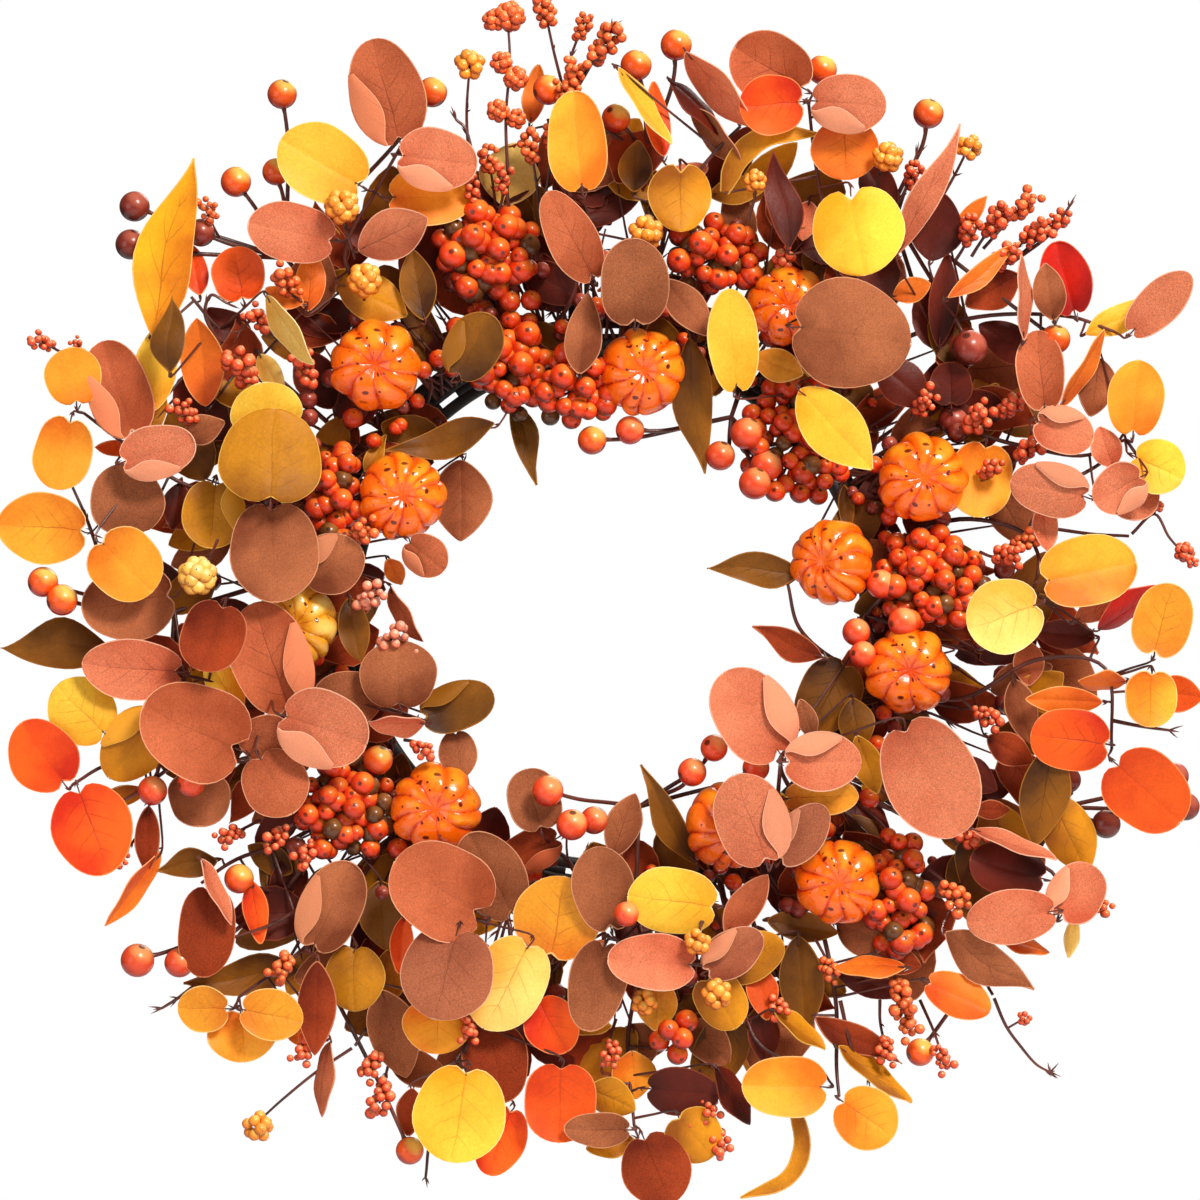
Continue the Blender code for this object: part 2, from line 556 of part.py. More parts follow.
def loose_parts(mesh):
    """The separate closed shells of a mesh, each a new mesh, the one that holds the most first."""
    work = bmesh.new()
    work.from_mesh(mesh)
    bmesh.ops.remove_doubles(work, verts=work.verts, dist=WELD * MM)
    bmesh.ops.dissolve_degenerate(work, edges=work.edges, dist=WELD * MM)
    bmesh.ops.dissolve_limit(work, angle_limit=math.radians(0.2), verts=work.verts, edges=work.edges)
    work.faces.index_update()
    shells = []
    seen = set()
    for start in work.faces:
        if start in seen:
            continue
        shell = {start}
        waiting = [start]
        while waiting:
            for edge in waiting.pop().edges:
                for face in edge.link_faces:
                    if face not in shell:
                        shell.add(face)
                        waiting.append(face)
        seen |= shell
        shells.append({face.index for face in shell})
    parts = []
    for shell in shells:
        part = work.copy()
        others = [face for face in part.faces if face.index not in shell]
        bmesh.ops.delete(part, geom=others, context="FACES")
        bmesh.ops.recalc_face_normals(part, faces=part.faces)
        made = bpy.data.meshes.new(mesh.name)
        parts.append((part.calc_volume(), made))
        part.to_mesh(made)
        part.free()
    work.free()
    return [made for volume, made in sorted(parts, key=lambda pair: -pair[0]) if volume > 1e-12]


def evaluated(obj):
    """The mesh of an object with its modifiers applied; the object itself is removed."""
    bpy.context.scene.collection.objects.link(obj)
    bpy.context.view_layer.update()
    mesh = bpy.data.meshes.new_from_object(obj.evaluated_get(bpy.context.evaluated_depsgraph_get()))
    bpy.data.objects.remove(obj)
    return mesh


def tubes(name, paths, radius):
    """One closed tube for each path of points in metres."""
    curve = bpy.data.curves.new(name, "CURVE")
    curve.dimensions = "3D"
    curve.bevel_depth = radius * MM
    curve.bevel_resolution = 0
    curve.use_fill_caps = True
    for path in paths:
        spline = curve.splines.new("POLY")
        spline.points.add(len(path) - 1)
        for point, spot in zip(spline.points, path):
            point.co = (*spot, 1)
    return loose_parts(evaluated(bpy.data.objects.new(name, curve)))


def plates(name, surfaces, thickness):
    """Each open surface in a mesh, given as a grid of rows of points, made a closed plate."""
    work = bmesh.new()
    for rows in surfaces:
        before = set(work.verts)
        bmesh.ops.create_grid(work, x_segments=len(rows) - 1, y_segments=len(rows[0]) - 1, size=1.0)
        made = [vert for vert in work.verts if vert not in before]
        points = [row[k] for k in range(len(rows[0])) for row in rows]
        for vert, point in zip(made, points):
            vert.co = point
    mesh = bpy.data.meshes.new(name)
    work.to_mesh(mesh)
    work.free()
    obj = bpy.data.objects.new(name, mesh)
    solidify = obj.modifiers.new("thickness", "SOLIDIFY")
    solidify.thickness = thickness * MM
    solidify.offset = 0.0
    return loose_parts(evaluated(obj))


def ball(spot, radius, subdivisions=BERRY_SIDES):
    def build(work):
        bmesh.ops.create_icosphere(
            work, subdivisions=subdivisions, radius=radius * MM, matrix=Matrix.Translation(spot)
        )

    return to_mesh("ball", build)


def box_of(mesh):
    points = np.empty(len(mesh.vertices) * 3, np.float32)
    mesh.vertices.foreach_get("co", points)
    points = points.reshape(-1, 3)
    return points.min(0), points.max(0)


def meets(a, b):
    """Whether the boxes of two meshes overlap."""
    (a_low, a_high), (b_low, b_high) = box_of(a), box_of(b)
    return bool((a_low <= b_high).all() and (b_low <= a_high).all())


def is_closed(mesh):
    work = bmesh.new()
    work.from_mesh(mesh)
    closed = all(part.is_manifold for part in [*work.edges, *work.verts])
    work.free()
    return closed


def volume(mesh):
    work = bmesh.new()
    work.from_mesh(mesh)
    held = work.calc_volume()
    work.free()
    return held


def carved(name, first, steps, solver):
    """The largest solid left of the mesh first after the Booleans of steps, each an operation and its meshes."""
    helpers = collection(name + ".helpers", helper=True)
    obj = bpy.data.objects.new(name, first)
    for operation, meshes in steps:
        group = bpy.data.collections.new(f"{name}.{operation}")
        helpers.children.link(group)
        for mesh in meshes:
            helper = bpy.data.objects.new(name + ".helper", mesh)
            helper.display_type = "WIRE"
            helper.hide_render = True
            group.objects.link(helper)
        cut = obj.modifiers.new(operation.lower(), "BOOLEAN")
        cut.operation = operation
        cut.operand_type = "COLLECTION"
        cut.collection = group
        cut.solver = solver
    solid = loose_parts(evaluated(obj))[0]
    for group in helpers.children:
        for helper in list(group.objects):
            bpy.data.objects.remove(helper)
    for group in [*helpers.children, helpers]:
        bpy.data.collections.remove(group)
    return solid


def add_part(name, slot, bodies, frame, taken, coming):
    """One solid of the bodies on their frame of stems or wires, trimmed to stay clear of other parts.

    The bodies stay clear of the frames still coming, and everything stays clear of the parts already taken.
    The exact solver's solid is kept unless it is open or has lost a leaf or berry that the manifold one holds.
    """
    first, *rest = bodies
    steps = [
        ("UNION", rest),
        ("DIFFERENCE", [mesh for mesh in coming if any(meets(mesh, body) for body in bodies)]),
        ("UNION", frame),
        ("DIFFERENCE", [mesh for mesh in taken if any(meets(mesh, part) for part in bodies + frame)]),
    ]
    steps = [(operation, meshes) for operation, meshes in steps if meshes]
    solid = carved(name, first, steps, "EXACT")
    other = carved(name, first, steps, "MANIFOLD")
    if is_closed(other) and (not is_closed(solid) or volume(solid) < 0.99 * volume(other)):
        solid = other
    obj = bpy.data.objects.new(name, solid)
    solid.name = name
    solid.materials.append(material(slot))
    bpy.data.collections[WREATH].objects.link(obj)
    return obj


# Leaves.


def leaf_frame(x, z, heading, length, width, depth, outline):
    """Where a leaf's middle is, its three directions, and its true length and width."""
    along = Vector((math.cos(math.radians(heading)), 0, math.sin(math.radians(heading))))
    across = Vector((-math.sin(math.radians(heading)), 0, math.cos(math.radians(heading))))
    front = Vector((0, -1, 0))
    tilt = math.radians(LEAF_TILT * math.sin(0.37 * x + 0.21 * z))
    roll = math.radians(LEAF_ROLL * math.sin(0.19 * x - 0.33 * z))
    if outline == "edge":
        roll = math.radians(EDGE_ROLL) * (1 if math.sin(x) > 0 else -1)
    along = (along * math.cos(tilt) + front * math.sin(tilt)).normalized()
    across = (across * math.cos(roll) + along.cross(across) * math.sin(roll)).normalized()
    return (
        place(x, z, depth),
        along,
        across,
        along.cross(across),
        length / math.cos(tilt),
        width / math.cos(roll),
    )


OUTLINES = {
    "round": [(0.0, 0.34), (0.45, 1.0), (1.0, 0.34)],
    "heart": [(0.0, 0.56), (0.4, 1.0), (1.0, 0.26)],
    "oval": [(0.0, 0.26), (0.5, 1.0), (1.0, 0.26)],
    "edge": [(0.0, 0.26), (0.5, 1.0), (1.0, 0.26)],
    "lance": [(0.0, 0.20), (0.45, 1.0), (1.0, 0.10)],
    "point": [(0.0, 0.26), (0.4, 1.0), (1.0, 0.10)],
    "folded": [(0.0, 0.34), (0.45, 1.0), (1.0, 0.34)],
}


def leaf_surface(leaf, grow=0.0):
    """A leaf's blade as rows of points from base to tip."""
    outline, x, z, heading, length, width, depth, _ = leaf
    middle, along, across, front, length, width = leaf_frame(x, z, heading, length, width, depth, outline)
    rows = []
    for share, wide in OUTLINES[outline]:
        s = (share - 0.5) * (length + 2 * grow)
        w = wide * (width / 2 + grow)
        rows.append([middle + (along * s + across * side) * MM for side in (-w, w)])
    return rows


def nearest_on(path, spot):
    """The point of a path that is nearest to spot."""
    best = None
    for a, b in zip(path, path[1:]):
        share = max(0.0, min(1.0, (spot - a).dot(b - a) / (b - a).length_squared))
        near = a.lerp(b, share)
        if best is None or (near - spot).length < (best - spot).length:
            best = near
    return best


def petiole_path(leaf, stem):
    """From inside a leaf's base to its bunch's stem."""
    outline, x, z, heading, length, width, depth, _ = leaf
    middle, along, across, front, length, width = leaf_frame(x, z, heading, length, width, depth, outline)
    inside = middle - along * (length * 0.36) * MM
    return [inside, nearest_on(stem, inside)]


def curled_surface(points, width, grow=0.0):
    """A long lance that curls through points, as rows from base to tip."""
    path = [place(*p) for p in points]
    rows = []
    for i, spot in enumerate(path):
        way = (path[min(i + 1, len(path) - 1)] - path[max(i - 1, 0)]).normalized()
        side = way.cross(Vector((0, -1, 0))).normalized()
        taper = (0.5, 1.0, 0.9, 0.2)[i]
        reach = (width / 2 * taper + grow) * MM
        rows.append([spot - side * reach, spot + side * reach])
    return rows


def bunch_stem(name):
    """A bunch's stem, whose root lies on the ring's face."""
    root, *rest = BUNCHES[name]["stem"]
    return [ring_point(root[0], root[1], STEM_FACE_DEPTH), *[place(*p) for p in rest]]


def bunch_frame(name, grow=0.0):
    """The stem of a bunch, the twig for a bending pick, and the leaves' petioles."""
    bunch = BUNCHES[name]
    stem = bunch_stem(name)
    stems = [stem]
    if name in CARRYING_TWIGS:
        root, *rest = CARRYING_TWIGS[name]
        stems.append([nearest_on(stem, place(*root)), *[place(*p) for p in rest]])
    paths = [petiole_path(leaf, stem) for leaf in bunch["leaves"]]
    for points, width, _ in CURLED.get(name, []):
        root = place(*points[0])
        paths.append([root.lerp(place(*points[1]), 0.2), root, nearest_on(stem, root)])
    return tubes(name, stems, STEM_RADIUS + grow) + tubes(name, paths, PETIOLE_RADIUS + grow)


def bunch_bodies(name, grow=0.0):
    surfaces = [leaf_surface(leaf, grow) for leaf in BUNCHES[name]["leaves"]]
    surfaces += [curled_surface(points, width, grow) for points, width, _ in CURLED.get(name, [])]
    return plates(name, surfaces, LEAF_THICKNESS + 2 * grow)


# Fruit.


def pumpkin_mesh(x, z, diameter, depth, turn, grow=0.0):
    """A lobed, flattened globe whose axis looks forward."""
    radius = (diameter / 2 + grow) * MM
    high = (diameter * PUMPKIN_FLATNESS + grow) * MM
    turned = Matrix.Rotation(math.radians(turn), 3, "Z")

    def build(work):
        bmesh.ops.create_uvsphere(work, u_segments=2 * PUMPKIN_LOBES, v_segments=6, radius=1.0)
        for vert in work.verts:
            angle = math.atan2(vert.co.y, vert.co.x)
            lobe = 1.0 - 0.10 * (0.5 - 0.5 * math.cos(PUMPKIN_LOBES * angle))
            flat = math.hypot(vert.co.x, vert.co.y)
            dimple = 0.25 * (1 - flat) ** 2
            local = Vector((vert.co.x * lobe * radius, -vert.co.z * (1 - dimple) * high, vert.co.y * lobe * radius))
            vert.co = turned @ local + place(x, z, depth)

    return to_mesh("pumpkin", build)


def ring_point(x, z, depth):
    """The point on the middle of the ring's band that is nearest to x, z, at that depth."""
    away = Vector((x - RING_CENTRE_X, z - RING_CENTRE_Z)).normalized()
    away *= (RING_INNER_RADIUS + RING_OUTER_RADIUS) / 2
    return place(away.x + RING_CENTRE_X, away.y + RING_CENTRE_Z, depth)


def pumpkin_frame(number, grow=0.0):
    x, z, _, depth, _, _ = PUMPKINS[number]
    wire = [place(x, z, depth), ring_point(x, z, STEM_FACE_DEPTH)]
    return tubes("wire", [wire], WIRE_RADIUS + grow)


def pumpkin_bodies(number, grow=0.0):
    *shape, _ = PUMPKINS[number]
    return [pumpkin_mesh(*shape, grow)]


def cluster_spots(x, z, half_width, half_height, depth, radius, count):
    """Berries spread by the golden angle over an oval heap that stands forward in its middle."""
    golden = math.pi * (3 - math.sqrt(5))
    spots = []
    for i in range(count):
        reach = math.sqrt((i + 0.4) / count)
        rise = 9.0 * (1 - reach * reach) + 3.0 * math.sin(2.1 * i)
        right = half_width * reach * math.cos(golden * i)
        up = half_height * reach * math.sin(golden * i)
        spots.append((x + right, z + up, depth + rise))
    return spots


def cluster_frame(name, grow=0.0):
    x, z, _, _, depth, _, _ = CLUSTERS[name]
    hub = place(x, z, depth - HUB_DEPTH)
    foot = ring_point(x, z, STEM_FACE_DEPTH)
    stalks = [[hub, place(*spot)] for spot in cluster_spots(*CLUSTERS[name])]
    return tubes(name, [[foot, hub]], STEM_RADIUS + grow) + tubes(name, stalks, WIRE_RADIUS + grow)


def cluster_bodies(name, grow=0.0):
    x, z, _, _, depth, radius, _ = CLUSTERS[name]
    berries = [ball(place(*spot), radius + grow) for spot in cluster_spots(*CLUSTERS[name])]
    return [*berries, ball(place(x, z, depth - HUB_DEPTH), HUB_RADIUS + grow)]


def pick_frame(name, grow=0.0):
    root, hub, berries = BERRY_PICKS[name]
    root, hub = ring_point(root[0], root[1], STEM_FACE_DEPTH), place(*hub)
    wires = [[hub, place(x, z, d)] for x, z, d, _ in berries]
    return tubes(name, [[root, hub]], STEM_RADIUS + grow) + tubes(name, wires, WIRE_RADIUS + grow)


def pick_bodies(name, grow=0.0):
    _, hub, berries = BERRY_PICKS[name]
    return [*[ball(place(x, z, d), r + grow) for x, z, d, r in berries], ball(place(*hub), HUB_RADIUS + grow)]


def seed_frame(name, grow=0.0):
    points, beads, _ = SEED_PICKS[name]
    path = [place(*p) for p in points]
    stalks = [[nearest_on(path, place(*bead)), place(*bead)] for bead in beads]
    stalks = [stalk for stalk in stalks if (stalk[0] - stalk[1]).length > 0.5 * MM]
    return tubes(name, [path], TWIG_RADIUS + grow) + tubes(name, stalks, WIRE_RADIUS + grow)


def seed_bodies(name, grow=0.0):
    return [ball(place(*bead), BEAD_RADIUS + grow) for bead in SEED_PICKS[name][1]]


# Ring and hanger.


def cylinder(radius, length, segments, matrix):
    def build(work):
        bmesh.ops.create_cone(
            work,
            cap_ends=True,
            segments=segments,
            radius1=radius * MM,
            radius2=radius * MM,
            depth=length * MM,
            matrix=matrix,
        )

    return to_mesh("cylinder", build)


def block(size, matrix):
    def build(work):
        bmesh.ops.create_cube(work, size=1.0, matrix=matrix @ Matrix.Diagonal((*[s * MM for s in size], 1)))

    return to_mesh("block", build)


def facing(x, z, depth):
    """A matrix at that place whose Z runs out of the wreath's front."""
    return Matrix.Translation(place(x, z, depth)) @ Matrix.Rotation(math.radians(90), 4, "X")


def ear_centres():
    return [side * (BAIL_HALF_WIDTH + EAR_GAP + EAR_WIDTH / 2 + BAIL_WIRE_RADIUS) for side in (-1, 1)]


def along_x(x, z, depth):
    return Matrix.Translation(place(x, z, depth)) @ Matrix.Rotation(math.radians(90), 4, "Y")


def ring():
    axis_z = RING_CENTRE_Z + bail_axis_height()
    ears, holes = [], []
    for x in ear_centres():
        root = Matrix.Translation(place(RING_CENTRE_X + x, axis_z - 3, RING_THICKNESS / 2))
        ears.append(block((EAR_WIDTH, RING_THICKNESS, EAR_HEIGHT + 6), root))
        through = along_x(RING_CENTRE_X + x, axis_z, RING_THICKNESS / 2)
        holes.append(cylinder(BAIL_WIRE_RADIUS + BAIL_PIN_CLEARANCE, EAR_WIDTH + 2, 12, through))
    slots = []
    rail = (RING_OUTER_RADIUS - RING_INNER_RADIUS) / (SLOT_ROWS + 1)
    for row in range(SLOT_ROWS):
        radius = RING_INNER_RADIUS + rail * (row + 1)
        for number in range(SLOTS_PER_ROW):
            angle = 2 * math.pi * (number + 0.5 * row + 0.5) / SLOTS_PER_ROW
            x = RING_CENTRE_X + radius * math.cos(angle)
            z = RING_CENTRE_Z + radius * math.sin(angle)
            spot = Matrix.Translation(place(x, z, RING_THICKNESS / 2)) @ Matrix.Rotation(-angle, 4, "Y")
            slots.append(block((SLOT_WIDTH, RING_THICKNESS + 4, SLOT_LENGTH), spot))
    middle = facing(RING_CENTRE_X, RING_CENTRE_Z, RING_THICKNESS / 2)
    disc = cylinder(RING_OUTER_RADIUS, RING_THICKNESS, RING_SEGMENTS, middle)
    opening = cylinder(RING_INNER_RADIUS, RING_THICKNESS + 4, RING_SEGMENTS, middle)
    add_part("base_ring", "ring_plastic", [disc], ears, [opening, *holes, *slots], [])


def hanger():
    """The bail: up one side, round the top and down the other, with its two ends turned out into the ears.

    Its origin is on the line of its two ends, which it folds about.
    """
    axis_z = RING_CENTRE_Z + bail_axis_height()
    reach = BAIL_HALF_WIDTH + EAR_GAP + BAIL_WIRE_RADIUS + EAR_WIDTH
    bend = BAIL_HALF_WIDTH
    straight = BAIL_HEIGHT - bend
    path = [(-reach, 0), (-bend, 0), (-bend, straight)]
    path += [(-bend * math.cos(a), straight + bend * math.sin(a)) for a in np.linspace(0, math.pi, 13)[1:-1]]
    path += [(bend, straight), (bend, 0), (reach, 0)]
    curve = bpy.data.curves.new("hanger_bail", "CURVE")
    curve.dimensions = "3D"
    curve.bevel_depth = BAIL_WIRE_RADIUS * MM
    curve.bevel_resolution = 1
    curve.use_fill_caps = True
    spline = curve.splines.new("POLY")
    spline.points.add(len(path) - 1)
    for point, (x, z) in zip(spline.points, path):
        point.co = (x * MM, 0, z * MM, 1)
    obj = bpy.data.objects.new("hanger_bail", curve)
    obj.location = place(RING_CENTRE_X, axis_z, RING_THICKNESS / 2)
    curve.materials.append(material("hanger_wire"))
    bpy.data.collections[WREATH].objects.link(obj)


def main():
    clear_scene()
    collection(WREATH)
    ring()
    hanger()
    parts = [(name, "seed_orange", seed_bodies, seed_frame, name) for name in SEED_PICKS]
    for number, pumpkin in enumerate(PUMPKINS):
        parts.append((f"pumpkin_{number + 1:02}", pumpkin[5], pumpkin_bodies, pumpkin_frame, number))
    parts += [(name, "berry_big", pick_bodies, pick_frame, name) for name in BERRY_PICKS]
    parts += [(name, "berry_red", cluster_bodies, cluster_frame, name) for name in CLUSTERS]
    bunches = [*CARRYING_TWIGS, *[name for name in BUNCHES if name not in CARRYING_TWIGS]]
    parts += [(name, BUNCHES[name]["slot"], bunch_bodies, bunch_frame, name) for name in bunches]
    frames = [frame(key, CLEARANCE) for _, _, _, frame, key in parts]
    taken = []
    for number, (name, slot, bodies, frame, key) in enumerate(parts):
        coming = [mesh for later in frames[number + 1:] for mesh in later]
        obj = add_part(name, slot, bodies(key), frame(key), taken, coming)
        if name in SEED_PICKS:
            hinge = place(*SEED_PICKS[name][0][0])
            obj.data.transform(Matrix.Translation(-hinge))
            obj.location = hinge
        reach = SWING_CLEARANCE if name in SEED_PICKS else CLEARANCE
        taken += bodies(key, reach) + frame(key, reach)


main()
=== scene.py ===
"""The looks of a harvest door wreath: eucalyptus leaves in autumn colours, pumpkins, berries and seed picks.

Lengths in the layout are millimetres from the wreath's centre: x to the right, z up, and depth out of its
flat back.
"""

import math

import bpy
import numpy as np
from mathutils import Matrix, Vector


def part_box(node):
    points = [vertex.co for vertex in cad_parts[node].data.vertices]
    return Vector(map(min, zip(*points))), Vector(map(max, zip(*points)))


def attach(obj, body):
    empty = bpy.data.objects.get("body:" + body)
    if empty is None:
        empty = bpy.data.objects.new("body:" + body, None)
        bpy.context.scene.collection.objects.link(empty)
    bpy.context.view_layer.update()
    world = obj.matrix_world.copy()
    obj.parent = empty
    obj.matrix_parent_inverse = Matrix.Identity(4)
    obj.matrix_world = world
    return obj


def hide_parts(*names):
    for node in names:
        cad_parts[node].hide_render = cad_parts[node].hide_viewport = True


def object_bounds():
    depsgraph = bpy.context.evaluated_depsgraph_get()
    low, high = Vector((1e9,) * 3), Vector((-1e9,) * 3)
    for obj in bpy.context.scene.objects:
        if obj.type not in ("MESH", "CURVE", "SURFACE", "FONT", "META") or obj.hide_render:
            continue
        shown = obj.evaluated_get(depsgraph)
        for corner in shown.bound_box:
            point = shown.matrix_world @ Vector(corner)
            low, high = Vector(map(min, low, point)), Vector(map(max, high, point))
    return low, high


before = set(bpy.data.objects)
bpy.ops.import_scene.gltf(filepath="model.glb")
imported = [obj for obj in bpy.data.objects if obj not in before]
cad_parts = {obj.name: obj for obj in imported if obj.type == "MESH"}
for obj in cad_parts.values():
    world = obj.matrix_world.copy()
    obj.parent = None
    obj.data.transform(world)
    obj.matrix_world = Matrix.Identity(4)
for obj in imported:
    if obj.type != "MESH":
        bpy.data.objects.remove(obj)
cad_low, cad_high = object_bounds()
bpy.context.scene.view_settings.view_transform = "Standard"

MM = 0.001
GOLDEN_ANGLE = math.pi * (3 - math.sqrt(5))
# The same angle, rounded. The beads and small leaves that are set out by it depend on its digits.
NEXT_TURN = 2.399963

RING_CENTRE_X = 5.0
RING_CENTRE_Z = -5.0
RING_OUTER_RADIUS = 149.0
RING_INNER_RADIUS = 127.0
RING_THICKNESS = 8.0
SLOTS_PER_ROW = 24
SLOT_LENGTH = 10.0
SLOT_WIDTH = 3.0
EAR_WIDTH = 7.0
EAR_HEIGHT = 14.0
BAIL_WIRE_RADIUS = 1.1
BAIL_HALF_WIDTH = 12.0

# The most that a leaf is tilted and rolled out of the wreath's plane, in degrees.
LEAF_TILT = 9.0
LEAF_ROLL = 10.0
EDGE_ROLL = 58.0
BLADE_THICKNESS = 0.5
LOBE_THICKNESS = 0.4

UNDERGROWTH_LEAVES = 340
UNDERGROWTH_BERRIES = 300
UNDERGROWTH_PARTS = 5

# The way to the light. Painted light and shade: a berry's colour is painted paler on its side towards it.
GLOW_FROM = (0.45, -0.55, 0.70)
WORLD_LIGHT = 0.42
MIRRORED_LIGHT = 0.12
KEY_LIGHT = 92.0
FILL_LIGHT = 15.0
CAMERA_DISTANCE = 2.6
VIEW_WIDTH = 0.6

ring_low, ring_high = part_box("base_ring")
bail_low, bail_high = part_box("hanger_bail")
CENTRE = np.array([
    (ring_low.x + ring_high.x) / 2 - RING_CENTRE_X * MM,
    0.0,
    ring_low.z + (RING_OUTER_RADIUS - RING_CENTRE_Z) * MM,
])

